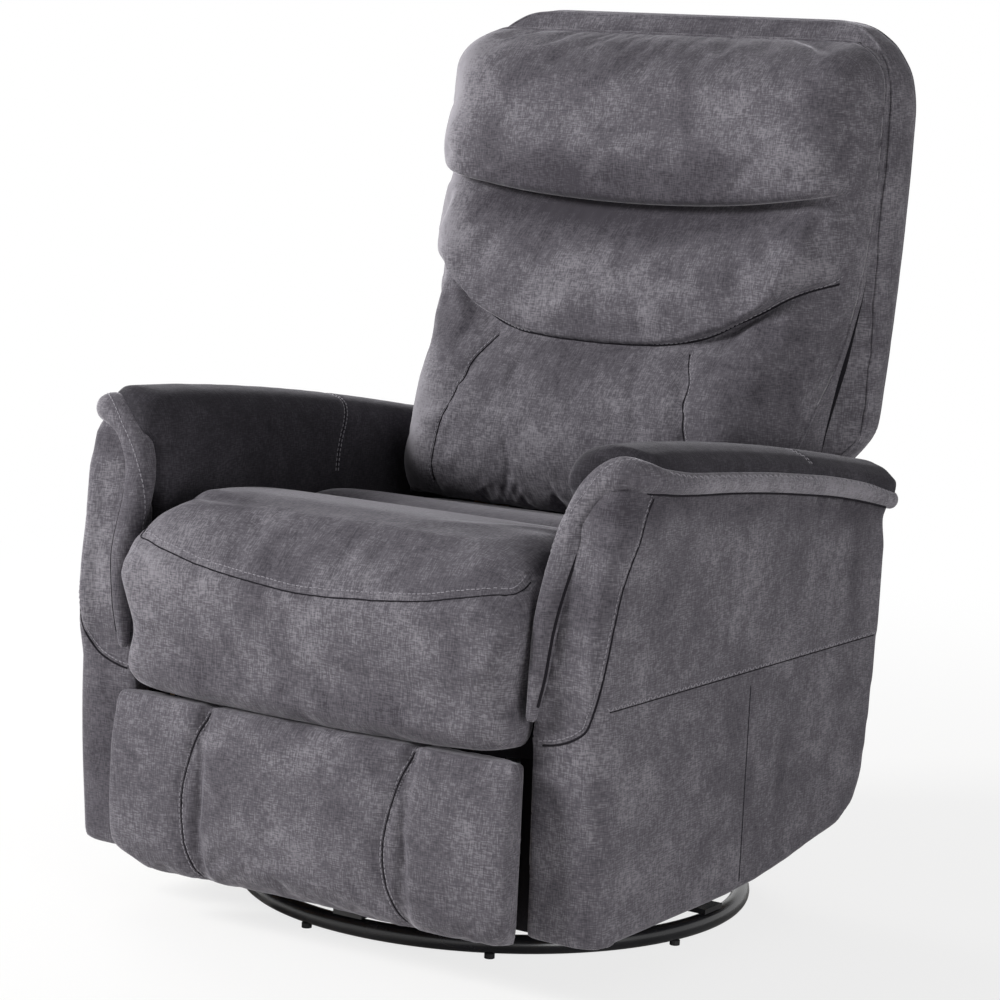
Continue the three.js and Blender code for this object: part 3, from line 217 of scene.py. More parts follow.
@dataclass(frozen=True)
class NappedLinen(Finish):
    """Upholstery cloth of brushed polyester, woven like linen and napped like velvet.

    The nap lies in strokes, lighter where it is brushed towards the eye and darker where it is brushed
    away, with a pale sheen at grazing angles. The real threads are about 0.7 mm apart, too fine to show, so
    they are drawn wider, as short crossed slubs.
    """

    dark: str = "#403d43"
    mid: str = "#5d5a60"
    light: str = "#88858b"
    thread: float = 1.2 * MM
    slub: float = 8 * MM
    strokes: Range = (38 * MM, 130 * MM)
    sheen: float = 0.75

    def weave(self, tree: Tree, place: Socket) -> Socket:
        """Writes the threads, seen square on from each of the three axes.

        Args:
            tree: the material's node tree.
            place: the object's own coordinates.

        Returns:
            A value about one half, high on a raised or pale thread.
        """
        normal = add_node(tree, "NewGeometry").outputs["Normal"]
        facing = add_node(tree, "VectorMath", {0: normal, 1: normal}, operation="MULTIPLY").outputs[0]
        shares = add_node(tree, "SeparateXYZ", {0: facing}).outputs
        total = None
        for axis in range(3):
            for along in (a for a in range(3) if a != axis):
                scale = [1 / self.thread] * 3
                scale[along] = scale[axis] = 1 / self.slub
                stretched = add_node(tree, "Mapping", {"Vector": place, "Scale": scale}).outputs[0]
                part = combined(tree, "MULTIPLY", noise(tree, stretched, 1.0, 1.0), shares[axis])
                total = part if total is None else combined(tree, "ADD", total, part)
        return combined(tree, "MULTIPLY", total, 0.5)

    def nap(self, tree: Tree, place: Socket) -> Socket:
        """Writes the brushed strokes, small ones over large ones.

        Args:
            tree: the material's node tree.
            place: the object's own coordinates.

        Returns:
            A value about one half, high where the nap lies towards the light.
        """
        total = None
        for size, detail in zip(self.strokes, (5.0, 3.0)):
            stroke = spread(tree, noise(tree, place, size, detail, distortion=0.8), (0.34, 0.66))
            total = stroke if total is None else combined(tree, "ADD", total, stroke)
        return combined(tree, "MULTIPLY", total, 0.5)

    def paint(self, tree: Tree, shader: Node) -> None:
        """Writes the nap's strokes, the painted light and shade on each cover, the threads' colours and
        their relief.
        """
        place = own_place(tree)
        threads = self.weave(tree, place)
        shade = combined(tree, "MULTIPLY", self.nap(tree, place), 0.5)
        woven = combined(tree, "MULTIPLY_ADD", spread(tree, threads, (0.38, 0.62)), 0.5, shade)
        # Painted light and shade that each cover carries, with some brushed nap, added to the tone.
        lean = add_node(tree, "Attribute", attribute_name="nap_and_painted_light").outputs["Fac"]
        ramp = add_node(tree, "ValToRGB", {0: combined(tree, "ADD", woven, lean)})
        stops = ramp.color_ramp.elements
        stops[0].color, stops[1].color = linear(self.dark), linear(self.light)
        stops.new(0.5).color = linear(self.mid)
        looks = {"Base Color": ramp.outputs[0], "Normal": relief(tree, threads, 0.7, 0.9 * MM)}
        looks |= {"Roughness": 0.9, "Specular IOR Level": 0.15}
        looks |= {"Sheen Weight": self.sheen, "Sheen Roughness": 0.3, "Sheen Tint": linear("#c4c2c8")}
        set_sockets(tree, shader, looks)


@dataclass(frozen=True)
class SewingThread(Finish):
    """Bonded nylon upholstery thread, twisted, which shines a little more than the cloth."""

    colour: str = "#77747b"
    twist: float = 0.8 * MM

    def paint(self, tree: Tree, shader: Node) -> None:
        """Writes the thread's twist as fine bands."""
        wave = {"Vector": own_place(tree), "Scale": 1 / self.twist, "Distortion": 1.5}
        colour = tint(tree, add_node(tree, "TexWave", wave).outputs[1], self.colour, "#918e95")
        set_sockets(tree, shader, {"Base Color": colour, "Roughness": 0.5})


@dataclass(frozen=True)
class DarkClothAndShade(Finish):
    """Thin dark cloth behind a cushion, black in places as painted shade, and the dark tubes of painted
    shade in seams: matt, and faintly mottled by its bonded fibres.
    """

    colour: str
    fibre: float = 1.5 * MM

    def paint(self, tree: Tree, shader: Node) -> None:
        """Writes the mottled fibres."""
        colour = tint(tree, noise(tree, own_place(tree), self.fibre), self.colour, "#232126")
        set_sockets(tree, shader, {"Base Color": colour, "Roughness": 0.95, "Specular IOR Level": 0.1})


@dataclass(frozen=True)
class StovedEnamel(Finish):
    """Steel with a stoved enamel or powder coat: smooth, with a faint orange peel and rubbed spots."""

    colour: str
    gloss: float
    peel: float = 1.2 * MM
    rubbed: float = 45 * MM

    def paint(self, tree: Tree, shader: Node) -> None:
        """Writes the coat's peel and the dullness of its rubbed spots."""
        place = own_place(tree)
        rubbed = noise(tree, place, self.rubbed, 5.0)
        looks = {"Base Color": tint(tree, rubbed, self.colour, "#26262a"), "IOR": 1.5}
        looks["Roughness"] = spread(tree, rubbed, target=(self.gloss - 0.06, self.gloss + 0.1))
        looks["Normal"] = relief(tree, noise(tree, place, self.peel), 0.12, 0.1 * MM)
        set_sockets(tree, shader, looks)


@dataclass(frozen=True)
class ZincPlate(Finish):
    """Pressed steel with bright zinc plate: a grey metal with fine rolling marks and cloudy spangle."""

    colour: str = "#a9adb2"
    mark: float = 0.5 * MM
    mark_length: float = 30 * MM
    spangle: float = 9 * MM

    def paint(self, tree: Tree, shader: Node) -> None:
        """Writes the rolling marks along the plate and the plate's clouds."""
        place = own_place(tree)
        scale = (1 / self.mark, 1 / self.mark_length, 1 / self.mark)
        lines = add_node(tree, "Mapping", {"Vector": place, "Scale": scale}).outputs[0]
        marks = noise(tree, lines, 1.0)
        clouds = add_node(tree, "TexVoronoi", {"Vector": place, "Scale": 1 / self.spangle}).outputs[0]
        looks = {"Base Color": tint(tree, clouds, self.colour, "#8d9196"), "Metallic": 1.0}
        looks["Roughness"] = spread(tree, marks, target=(0.32, 0.52))
        looks["Normal"] = relief(tree, marks, 0.1, 0.05 * MM)
        set_sockets(tree, shader, looks)


@dataclass(frozen=True)
class SawnPlywood(Finish):
    """Raw sawn plywood and batten of a pale wood: long grain, darker late wood and a matt, fuzzy face."""

    pale: str = "#c9a676"
    late: str = "#a57e4f"
    ring: float = 7 * MM
    fibre: float = 1.5 * MM
    drawn_out: Place = (0.2, 0.12, 1.0)

    def paint(self, tree: Tree, shader: Node) -> None:
        """Writes the growth rings, drawn out along the boards, and the fibres."""
        place = own_place(tree)
        drawn = add_node(tree, "Mapping", {"Vector": place, "Scale": self.drawn_out}).outputs[0]
        wave = {"Vector": drawn, "Scale": 1 / self.ring / 6, "Distortion": 9.0, "Detail": 3.0}
        looks = {"Base Color": tint(tree, add_node(tree, "TexWave", wave).outputs[1], self.pale, self.late)}
        looks["Normal"] = relief(tree, noise(tree, place, self.fibre, 3.0), 0.3, 0.2 * MM)
        set_sockets(tree, shader, looks | {"Roughness": 0.75})


@dataclass(frozen=True)
class Moulded(Finish):
    """Moulded plastic or rubber with a spark-eroded texture, which breaks up its gloss."""

    colour: str
    roughness: float
    texture: float = 0.7 * MM
    worn: float = 35 * MM

    def paint(self, tree: Tree, shader: Node) -> None:
        """Writes the moulded texture and the polish of handled spots."""
        place = own_place(tree)
        worn = noise(tree, place, self.worn, 3.0)
        looks = {"Base Color": tint(tree, worn, self.colour, "#2a2a2d")}
        looks["Roughness"] = spread(tree, worn, target=(self.roughness - 0.08, self.roughness + 0.08))
        looks["Normal"] = relief(tree, noise(tree, place, self.texture), 0.25, 0.08 * MM)
        set_sockets(tree, shader, looks)


CLOTH = NappedLinen("napped_linen_weave", "upholstery")
# A darker copy of the cloth with less sheen, for the arm pads: painted shade for the dark look of their
# tops and inner sides.
SHADED_ARM_CLOTH = NappedLinen(
    "napped_linen_painted_shade", "upholstery", dark="#242226", mid="#333136", light="#4a474d", sheen=0.22
)
THREAD = SewingThread("bonded_nylon_thread", "upholstery")
# Dark tubes along seams and beside the rolled edges: painted shade where the cloth turns in.
SEAM_SHADE = DarkClothAndShade("painted_seam_shade_line", "upholstery", colour="#1c1a1e")
# Black lining cloth that closes gaps; behind the back cushions its black is also painted shade for the deep
# gap there.
LINING_AND_SHADE = DarkClothAndShade("black_lining_and_painted_shade", "upholstery", colour="#101012")
RING_COAT = StovedEnamel("black_stoved_enamel", "ring_enamel", colour="#0d0d0f", gloss=0.22)
FRAME_COAT = StovedEnamel("black_powder_coat", "frame_enamel", colour="#17171a", gloss=0.45)
ZINC = ZincPlate("bright_zinc_plate", "zinc_steel")
WIRE = ZincPlate("oiled_spring_wire", "spring_steel", colour="#6d6f73")
PLYWOOD = SawnPlywood("raw_poplar_plywood", "frame_wood")
RUBBER = Moulded("moulded_black_rubber", "foot_rubber", colour="#101011", roughness=0.8)
NYLON = Moulded("natural_nylon", "bearing_plastic", colour="#cfcbbf", roughness=0.45)
ABS = Moulded("black_abs", "release_plastic", colour="#161618", roughness=0.42)


# Mesh helpers


def mesh_points(mesh: Mesh) -> Points:
    """Returns a mesh's vertices as rows of x, y and z."""
    flat = np.empty(len(mesh.vertices) * 3)
    mesh.vertices.foreach_get("co", flat)
    return flat.reshape(-1, 3)


def set_points(mesh: Mesh, points: Points) -> None:
    """Writes rows of x, y and z into a mesh's vertices."""
    mesh.vertices.foreach_set("co", points.ravel())
    mesh.update()


def mesh_normals(mesh: Mesh) -> Points:
    """Returns the unit normals of a mesh's vertices."""
    flat = np.empty(len(mesh.vertices) * 3, np.float32)
    mesh.vertex_normals.foreach_get("vector", flat)
    return flat.reshape(-1, 3).astype(float)


def evaluated(obj: bpy.types.Object) -> Mesh:
    """Returns a new mesh with the object's modifiers applied."""
    graph = bpy.context.evaluated_depsgraph_get()
    return bpy.data.meshes.new_from_object(obj.evaluated_get(graph))


def with_modifier(mesh: Mesh, kind: str, **settings) -> Mesh:
    """Applies one modifier to a mesh.

    Args:
        mesh: the mesh, which is used up.
        kind: the modifier's type.
        settings: its attributes.

    Returns:
        The changed mesh.
    """
    holder = bpy.data.objects.new("holder", mesh)
    bpy.context.scene.collection.objects.link(holder)
    modifier = holder.modifiers.new(kind.lower(), kind)
    for key, value in settings.items():
        setattr(modifier, key, value)
    made = evaluated(holder)
    bpy.data.objects.remove(holder)
    return made


def joined(meshes: Sequence[Mesh]) -> Mesh:
    """Returns one mesh that holds the faces of several."""
    points: list[Points] = []
    faces: list[tuple[int, ...]] = []
    start = 0
    for mesh in meshes:
        points.append(mesh_points(mesh))
        faces += [tuple(start + v for v in face.vertices) for face in mesh.polygons]
        start += len(mesh.vertices)
    made = bpy.data.meshes.new("joined")
    made.from_pydata(np.concatenate(points).tolist(), [], faces)
    return made


def neighbour_pairs(mesh: Mesh) -> np.ndarray:
    """Returns a mesh's edges as rows of two vertex indices."""
    flat = np.empty(len(mesh.edges) * 2, int)
    mesh.edges.foreach_get("vertices", flat)
    return flat.reshape(-1, 2)


def relaxed(points: Points, pairs: np.ndarray, rounds: int, share: float | Points = 0.5) -> Points:
    """Moves each point towards the mean of its neighbours.

    Args:
        points: rows of x, y and z, or of any values.
        pairs: the edges between them.
        rounds: how often they move.
        share: how far of the way they move each time, or a column of one for each point.

    Returns:
        The moved points.
    """
    count = np.bincount(pairs.ravel(), minlength=len(points))[:, None]
    for _ in range(rounds):
        total = np.zeros_like(points)
        for column in range(points.shape[1]):
            total[:, column] = np.bincount(pairs[:, 0], points[pairs[:, 1], column], len(points))
            total[:, column] += np.bincount(pairs[:, 1], points[pairs[:, 0], column], len(points))
        points = points + share * (total / np.maximum(count, 1) - points)
    return points


def chain(line: Points) -> np.ndarray:
    """Returns the pairs of neighbours along a line, as rows of two indices."""
    return np.stack([np.arange(len(line) - 1), np.arange(1, len(line))], axis=1)


def directions(line: Points) -> Points:
    """Returns the unit direction of a line at each of its points."""
    along = np.gradient(line, axis=0)
    return along / np.maximum(np.linalg.norm(along, axis=1)[:, None], TINY)


def smooth_curve(corners: Sequence[Sequence[float]], step: float) -> Points:
    """Runs a smooth curve through corner points.

    Args:
        corners: rows of x, y and z.
        step: the spacing of the points that come back.

    Returns:
        Evenly spaced points on the curve.
    """
    rows = np.asarray(corners, float)
    rows = np.concatenate([2 * rows[:1] - rows[1:2], rows, 2 * rows[-1:] - rows[-2:-1]])
    share = np.linspace(0, 1, 24, endpoint=False)[:, None]
    runs = []
    for a, b, c, d in zip(rows, rows[1:], rows[2:], rows[3:]):
        bend = 2 * a - 5 * b + 4 * c - d
        runs.append(0.5 * (2 * b + (c - a) * share + bend * share**2 + (3 * b - a - 3 * c + d) * share**3))
    dense = np.concatenate([*runs, rows[-2:-1]])
    length = np.concatenate([[0], np.cumsum(np.linalg.norm(np.diff(dense, axis=0), axis=1))])
    count = max(2, round(length[-1] / step) + 1)
    wanted = np.linspace(0, length[-1], count)
    return np.stack([np.interp(wanted, length, dense[:, column]) for column in range(3)], axis=1)


def on_surface(tree: BVHTree, points: Points) -> tuple[Points, Points]:
    """Returns the nearest surface point to each point, and the surface's normal there."""
    found = [tree.find_nearest(Vector(point)) for point in points]
    return np.array([f[0] for f in found]), np.array([f[1] for f in found])


def tube(path: Points, radius: float | Points, sides: int = 8) -> Mesh:
    """Makes a closed tube with round ends along a path.

    Args:
        path: rows of x, y and z.
        radius: the tube's radius, or one for each point of the path.
        sides: the corners of its section.

    Returns:
        The tube's mesh.
    """
    sizes = np.broadcast_to(radius, len(path))
    along = directions(path)
    across = np.cross(along, SIDEWAYS)
    across /= np.linalg.norm(across, axis=1)[:, None]
    third = np.cross(along, across)
    turns = np.linspace(0, 2 * math.pi, sides, endpoint=False)
    tip = 0.6
    beyond = along * sizes[:, None] * tip
    tips = [(path[end] + sign * beyond[end], end, tip) for end, sign in ((0, -1), (-1, 1))]
    places = [tips[0], *((place, number, 1.0) for number, place in enumerate(path)), tips[1]]
    rings = [
        place + sizes[i] * size * (np.cos(turns)[:, None] * across[i] + np.sin(turns)[:, None] * third[i])
        for place, i, size in places
    ]
    return closed_strip(np.array(rings))


def make_piece(
    name: str,
    mesh: Mesh,
    finish: Finish,
    body: Body,
    replaces: Sequence[str] = (),
) -> bpy.types.Object:
    """Args:
        name: the piece's name.
        mesh: its mesh, in place.
        finish: what it is made of.
        body: the body that it rides on.
        replaces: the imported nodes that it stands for.

    Returns:
        The new object.
    """
    mesh.name = name
    mesh.materials.clear()
    mesh.materials.append(finish.material())
    mesh.shade_smooth()
    piece = bpy.data.objects.new(name, mesh)
    bpy.context.scene.collection.objects.link(piece)
    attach(piece, body.value)
    if replaces:
        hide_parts(*replaces)
    LOG.info("%s: %d faces on %s", name, len(mesh.polygons), body.value)
    return piece


# Upholstery


class Stitch(Enum):
    """Ways in which a seam's thread runs."""

    NONE = 0
    RUNNING = 1
    ZIGZAG = 2


@dataclass
class Seam:
    """A sewn line on a soft piece. Lengths are millimetres, and sides are told by the sign of an offset.

    Attributes:
        corners: places that the line runs through, put onto the surface.
        depth: how far the seam draws the cover in.
        width: how wide the channel is that it draws.
        fold: radius of the dark tube of painted shade along the line, or zero.
        rows: offsets of the rows of stitches.
        stitch: how the thread runs.
        pucker: height of the small gathers that the stitching makes.
    """

    corners: Sequence[Place]
    depth: float = 3.0
    width: float = 8.0
    fold: float = 0.9
    rows: Sequence[float] = ()
    stitch: Stitch = Stitch.RUNNING
    pucker: float = 0.5

    def mirrored(self) -> "Seam":
        """Returns the same seam on the other side of the chair."""
        corners = [(-x, y, z) for x, y, z in self.corners]
        return replace(self, corners=corners, rows=[-row for row in self.rows])


@dataclass
class Sewing:
    """Draws seams into a cover and lays their painted shade lines and stitches on it. Lengths are
    millimetres.

    Attributes:
        stitch: length of a stitch.
        pitch: spacing of the stitches.
        thread: radius of the thread.
        zigzag: how far a zigzag's ends lie off its line.
        step: spacing of the points of a seam's line.
        gathers: for the small gathers beside a seam, their turn for each point of the line, the turn and
            the depth of what makes them uneven, and the turn of their swell.
    """

    stitch: float = 4.2
    pitch: float = 6.2
    thread: float = 0.65
    zigzag: float = 1.8
    step: float = 3.0
    gathers: Sequence[float] = (0.42, 0.061, 2.1, 0.13)

    def line(self, mesh: Mesh, seam: Seam, step: float) -> tuple[Points, Points, Points]:
        """Lays a seam's line on a mesh.

        Args:
            mesh: the cover.
            seam: the seam.
            step: spacing of the points.

        Returns:
            The points, the surface's normals there, and the directions across the line.
        """
        tree = surface_tree(mesh)
        line = on_surface(tree, smooth_curve(np.asarray(seam.corners) * MM, 2 * MM))[0]
        pairs = chain(line)
        for _ in range(3):
            ends = line[[0, -1]]
            line = relaxed(line, pairs, 12)
            line[[0, -1]] = ends
            line = on_surface(tree, line)[0]
        line, normals = on_surface(tree, smooth_curve(relaxed(line, pairs, 4)[1:-1:3], step * MM))
        return line, normals, np.cross(normals, directions(line))

    def draw_in(self, mesh: Mesh, seams: Iterable[Seam]) -> None:
        """Sinks each seam's channel into a mesh, with the gathers beside it."""
        turn, uneven_turn, uneven, swell_turn = self.gathers
        for seam in seams:
            points, normals = mesh_points(mesh), mesh_normals(mesh)
            line = self.line(mesh, seam, self.step)[0]
            near, gap, index = near_line(points, line, 4 * seam.width * MM)
            share = gap / (seam.width * MM)
            channel = seam.depth * np.exp(-(share**2))
            along = index * self.step
            ripple = np.sin(along * turn + uneven * np.sin(along * uneven_turn))
            ripple = ripple * np.sin(along * swell_turn + 1.0)
            gather = seam.pucker * ripple * np.exp(-((share / 1.6) ** 2)) * np.minimum(1, 2 * share)
            points[near] -= normals[near] * ((channel + gather) * MM)[:, None]
            set_points(mesh, points)

    def fold(self, mesh: Mesh, seam: Seam) -> Mesh:
        """Makes the dark tube of painted shade where the two cloths of a seam turn in."""
        line, normals, _ = self.line(mesh, seam, self.step)
        sunk = line - normals * seam.fold * 0.2 * MM
        return tube(relaxed(sunk, chain(line), 2), seam.fold * MM, 6)

    def stitches(self, mesh: Mesh, seam: Seam) -> list[Mesh]:
        """Makes a seam's stitches, one small closed mesh each."""
        line, _, across = self.line(mesh, seam, self.pitch)
        tree = surface_tree(mesh)
        zigzag = self.zigzag if seam.stitch is Stitch.ZIGZAG else 0.0
        made = []
        for row in seam.rows:
            places, out = on_surface(tree, line + across * row * MM)
            for number, (place, reach, up, side) in enumerate(zip(places, directions(line), out, across)):
                lean = side * zigzag * MM * (1 if number % 2 else -1)
                half = reach * self.stitch * MM / 2 + lean
                top = place + up * (self.thread * 0.3) * MM
                dip = up * self.thread * 1.2 * MM
                run = np.array([top - half - dip, top - half * 0.6, top + half * 0.6, top + half - dip])
                made.append(tube(run, self.thread * MM, 6))
        return made


@dataclass(frozen=True)
class NapAndLightSpot:
    """A spot where a cover is painted lighter or darker: mostly painted light and shade, in places brushed
    nap. Lengths are millimetres.

    Attributes:
        middle: its middle.
        reach: how far it reaches along x, y and z.
        lean: how much lighter, or darker below zero, the cloth is painted there.
    """

    middle: Place
    reach: Place
    lean: float


def paint_nap_and_light(mesh: Mesh, spots: Iterable[NapAndLightSpot]) -> None:
    """Writes into a cover its painted light and shade, with its brushed nap, one value for each vertex."""
    points = mesh_points(mesh) / MM
    lean = np.zeros(len(points), np.float32)
    for spot in spots:
        away = (points - spot.middle) / spot.reach
        lean += spot.lean * np.exp(-(away**2).sum(axis=1))
    layer = mesh.attributes.new("nap_and_painted_light", "FLOAT", "POINT")
    layer.data.foreach_set("value", lean)


def tuck_under(mesh: Mesh, path: Points, radii: Points, reach: float) -> None:
    """Draws the part of a cover that lies along a roll inside it, so that the roll shows alone.

    Args:
        mesh: the cover.
        path: the roll's middle line.
        radii: the roll's radius at each point of the line.
        reach: how far from the roll the cover starts to dip.
    """
    points = mesh_points(mesh)
    near, gap, index = near_line(points, path, radii.max() + reach)
    size = radii[index]
    share = smooth_step(0.55, 1.0, (gap - size) / reach)
    wanted = np.minimum(gap, (size - 3 * MM) * (1 - share) + gap * share)
    middle = path[index]
    points[near] = middle + (points[near] - middle) * (wanted / np.maximum(gap, TINY))[:, None]
    set_points(mesh, points)


def surface_tree(mesh: Mesh) -> BVHTree:
    """Returns a search tree of a mesh's faces."""
    return BVHTree.FromPolygons([v.co for v in mesh.vertices], [face.vertices[:] for face in mesh.polygons])


def near_line(points: Points, line: Points, reach: float) -> tuple[np.ndarray, np.ndarray, np.ndarray]:
    """Finds the points near a line.

    Args:
        points: rows of x, y and z.
        line: the line's points.
        reach: the greatest distance.

    Returns:
        The near points' indices, their distances and the line's nearest index for each.
    """
    inside = np.all((points > line.min(0) - reach) & (points < line.max(0) + reach), axis=1)
    near = np.where(inside)[0]
    gap, index = np.full(len(near), np.inf), np.zeros(len(near), int)
    for number, place in enumerate(line):
        distance = np.linalg.norm(points[near] - place, axis=1)
        closer = distance < gap
        gap[closer], index[closer] = distance[closer], number
    kept = gap < reach
    return near[kept], gap[kept], index[kept]


def closed_strip(rows: np.ndarray) -> Mesh:
    """Closes rows of section points into one mesh.

    Args:
        rows: an array of places along the strip by points of its section by x, y and z.

    Returns:
        The closed mesh.
    """
    count, sides, _ = rows.shape
    faces = [
        (r * sides + s, r * sides + (s + 1) % sides, (r + 1) * sides + (s + 1) % sides, (r + 1) * sides + s)
        for r in range(count - 1)
        for s in range(sides)
    ]
    faces += [tuple(range(sides))[::-1], tuple((count - 1) * sides + s for s in range(sides))]
    made = bpy.data.meshes.new("strip")
    made.from_pydata(rows.reshape(-1, 3).tolist(), [], faces)
    return made


def hung_cloth(rows: Iterable[Sequence[float]], side: Side = Side.LEFT, thickness: float = 1.5) -> Mesh:
    """Makes a thin closed strip of cloth that hangs across the chair.

    Args:
        rows: from below, the height, the place along y and the two ends across, in millimetres of the
            left side.
        side: the side that it hangs on.
        thickness: how thick it is, in millimetres.

    Returns:
        The strip's mesh.
    """
    places = [[(a, y, z), (b, y, z), (b, y + thickness, z), (a, y + thickness, z)] for z, y, a, b in rows]
    return closed_strip(np.array(places) * (side.value * MM, MM, MM))


@dataclass
class Filling:
    """How a cover is stuffed: the cloth solver blows it up between its seams. Lengths are millimetres.

    Attributes:
        pressure: how hard the filling pushes.
        growth: how much larger the cloth is cut than the shape that it starts from.
        cap: how far the cover may move.
        frames: how long it is blown up.
        quality: how many steps the solver takes for a frame.
        damping: how much the air slows the cloth down.
        stiffness: how hard the cloth is to stretch.
        bending: how hard it is to bend.
    """

    pressure: float = 3.0
    growth: float = 0.02
    cap: float = 12.0
    frames: int = 18
    quality: int = 4
    damping: float = 3
    stiffness: float = 15
    bending: float = 0.5

    def blow_up(self, mesh: Mesh, held: np.ndarray) -> None:
        """Blows a closed cover up.

        Args:
            mesh: the cover.
            held: for each vertex, whether it stays where it is.
        """
        start = mesh_points(mesh)
        holder = bpy.data.objects.new("cover", mesh)
        bpy.context.scene.collection.objects.link(holder)
        group = holder.vertex_groups.new(name="held")
        group.add(np.where(held)[0].tolist(), 1.0, "REPLACE")
        cloth = holder.modifiers.new("cloth", "CLOTH")
        settings = cloth.settings
        settings.vertex_group_mass = "held"
        settings.use_pressure = True
        settings.uniform_pressure_force = self.pressure
        settings.shrink_min = -self.growth
        settings.effector_weights.gravity = 0
        settings.quality = self.quality
        settings.air_damping = self.damping
        settings.tension_stiffness = settings.compression_stiffness = self.stiffness
        settings.bending_stiffness = self.bending
        cloth.collision_settings.use_collision = False
        cloth.point_cache.frame_start, cloth.point_cache.frame_end = 1, self.frames
        for number in range(1, self.frames + 1):
            bpy.context.scene.frame_set(number)
        graph = bpy.context.evaluated_depsgraph_get()
        moved = mesh_points(holder.evaluated_get(graph).data)
        holder.vertex_groups.clear()
        bpy.data.objects.remove(holder)
        bpy.context.scene.frame_set(1)
        shift = moved - start
        length = np.linalg.norm(shift, axis=1)[:, None]
        set_points(mesh, start + shift * np.minimum(1, self.cap * MM / np.maximum(length, TINY)))


def even_mesh(nodes: Sequence[str], voxel: float, rounds: int) -> Mesh:
    """Makes one even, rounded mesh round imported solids, as large as they are.

    Args:
        nodes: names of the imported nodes.
        voxel: size of its faces in millimetres.
        rounds: rounds of smoothing that take the corners off.

    Returns:
        The mesh.
    """
    solid = joined([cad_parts[node].data for node in nodes])
    whole = mesh_points(solid)
    even = with_modifier(solid, "REMESH", mode="VOXEL", voxel_size=voxel * MM)
    points = relaxed(mesh_points(even), neighbour_pairs(even), rounds)
    low, high = points.min(0), points.max(0)
    share = (points - low) / (high - low)
    set_points(even, whole.min(0) + share * (whole.max(0) - whole.min(0)))
    return even


def smooth_step(low: float, high: float, value: np.ndarray) -> np.ndarray:
    """Returns a smooth rise from zero at low to one at high."""
    share = np.clip((value - low) / (high - low), 0, 1)
    return share * share * (3 - 2 * share)


def bulge(value: np.ndarray, height: float, middle: float, reach: float) -> np.ndarray:
    """Returns a smooth hump of some height round a middle."""
    return height * np.exp(-(((value - middle) / reach) ** 2))


def groove(over: np.ndarray, above: float, below: float) -> np.ndarray:
    """Returns a sewn groove's share of its depth, which fades soon above its line and slowly below it."""
    up, down = np.maximum(over, 0), np.maximum(-over, 0)
    return np.where(over >= -0.01, np.exp(-((up / above) ** 2)), np.exp(-((down / below) ** 1.2)))


def overhang(over: np.ndarray, reach: float, soft: float = 4) -> np.ndarray:
    """Returns how much of its full hang a fold has at some height over the line that it hangs on."""
    up = np.maximum(over, 0)
    return np.exp(-up / reach) * (1 - np.exp(-((up / soft) ** 2)))


def held_near(points: Points, seams: Iterable[Seam], reach: float) -> np.ndarray:
    """Marks the points within a reach, in millimetres, of some seams."""
    held = np.zeros(len(points), bool)
    for seam in seams:
        line = smooth_curve(np.asarray(seam.corners) * MM, 4 * MM)
        held[near_line(points, line, reach * MM)[0]] = True
    return held


def hold_within(mesh: Mesh, low: Sequence[float | None], high: Sequence[float | None]) -> None:
    """Keeps a cover between planes, so that it stays clear of its neighbours.

    Args:
        mesh: the cover.
        low: the lowest x, y and z in millimetres, or None.
        high: the highest.
    """
    points = mesh_points(mesh)
    for axis in range(3):
        if low[axis] is not None:
            points[:, axis] = np.maximum(points[:, axis], low[axis] * MM)
        if high[axis] is not None:
            points[:, axis] = np.minimum(points[:, axis], high[axis] * MM)
    set_points(mesh, points)


def finish_cover(
    name: str,
    mesh: Mesh,
    body: Body,
    nodes: Sequence[str],
    seams: Sequence[Seam],
    piping: Sequence[Mesh] = (),
    finish: Finish = CLOTH,
    spots: Sequence[NapAndLightSpot] = (),
) -> bpy.types.Object:
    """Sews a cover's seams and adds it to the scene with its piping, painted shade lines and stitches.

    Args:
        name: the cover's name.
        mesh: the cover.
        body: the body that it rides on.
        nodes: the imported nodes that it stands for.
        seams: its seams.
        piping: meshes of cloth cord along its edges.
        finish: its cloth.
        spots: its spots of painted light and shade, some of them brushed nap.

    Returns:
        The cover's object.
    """
    sewing = Sewing()
    sewing.draw_in(mesh, seams)
    sewn = [seam for seam in seams if seam.stitch is not Stitch.NONE]
    thread = [stitch for seam in sewn for stitch in sewing.stitches(mesh, seam)]
    shade_lines = [sewing.fold(mesh, seam) for seam in seams if seam.fold]
    paint_nap_and_light(mesh, spots)
    cover = make_piece(name, mesh, finish, body, nodes)
    if piping:
        make_piece(f"{name}_piping", joined(piping), CLOTH, body)
    if shade_lines:
        make_piece(f"{name}_folds", joined(shade_lines), SEAM_SHADE, body)
    if thread:
        make_piece(f"{name}_stitches", joined(thread), THREAD, body)
    return cover


def coat(node: str, finish: Finish, bevel: float = 0.0) -> None:
    """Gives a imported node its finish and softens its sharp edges.

    Args:
        node: the node's name.
        finish: what it is made of.
        bevel: width of the softened edges in millimetres.
    """
    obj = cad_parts[node]
    for place in obj.material_slots:
        place.material = finish.material()
    if bevel:
        modifier = obj.modifiers.new("softened", "BEVEL")
        modifier.width = bevel * MM
        modifier.segments = 2
        modifier.limit_method = "ANGLE"
        modifier.angle_limit = math.radians(40)
    LOG.info("%s: %s", node, finish.name)


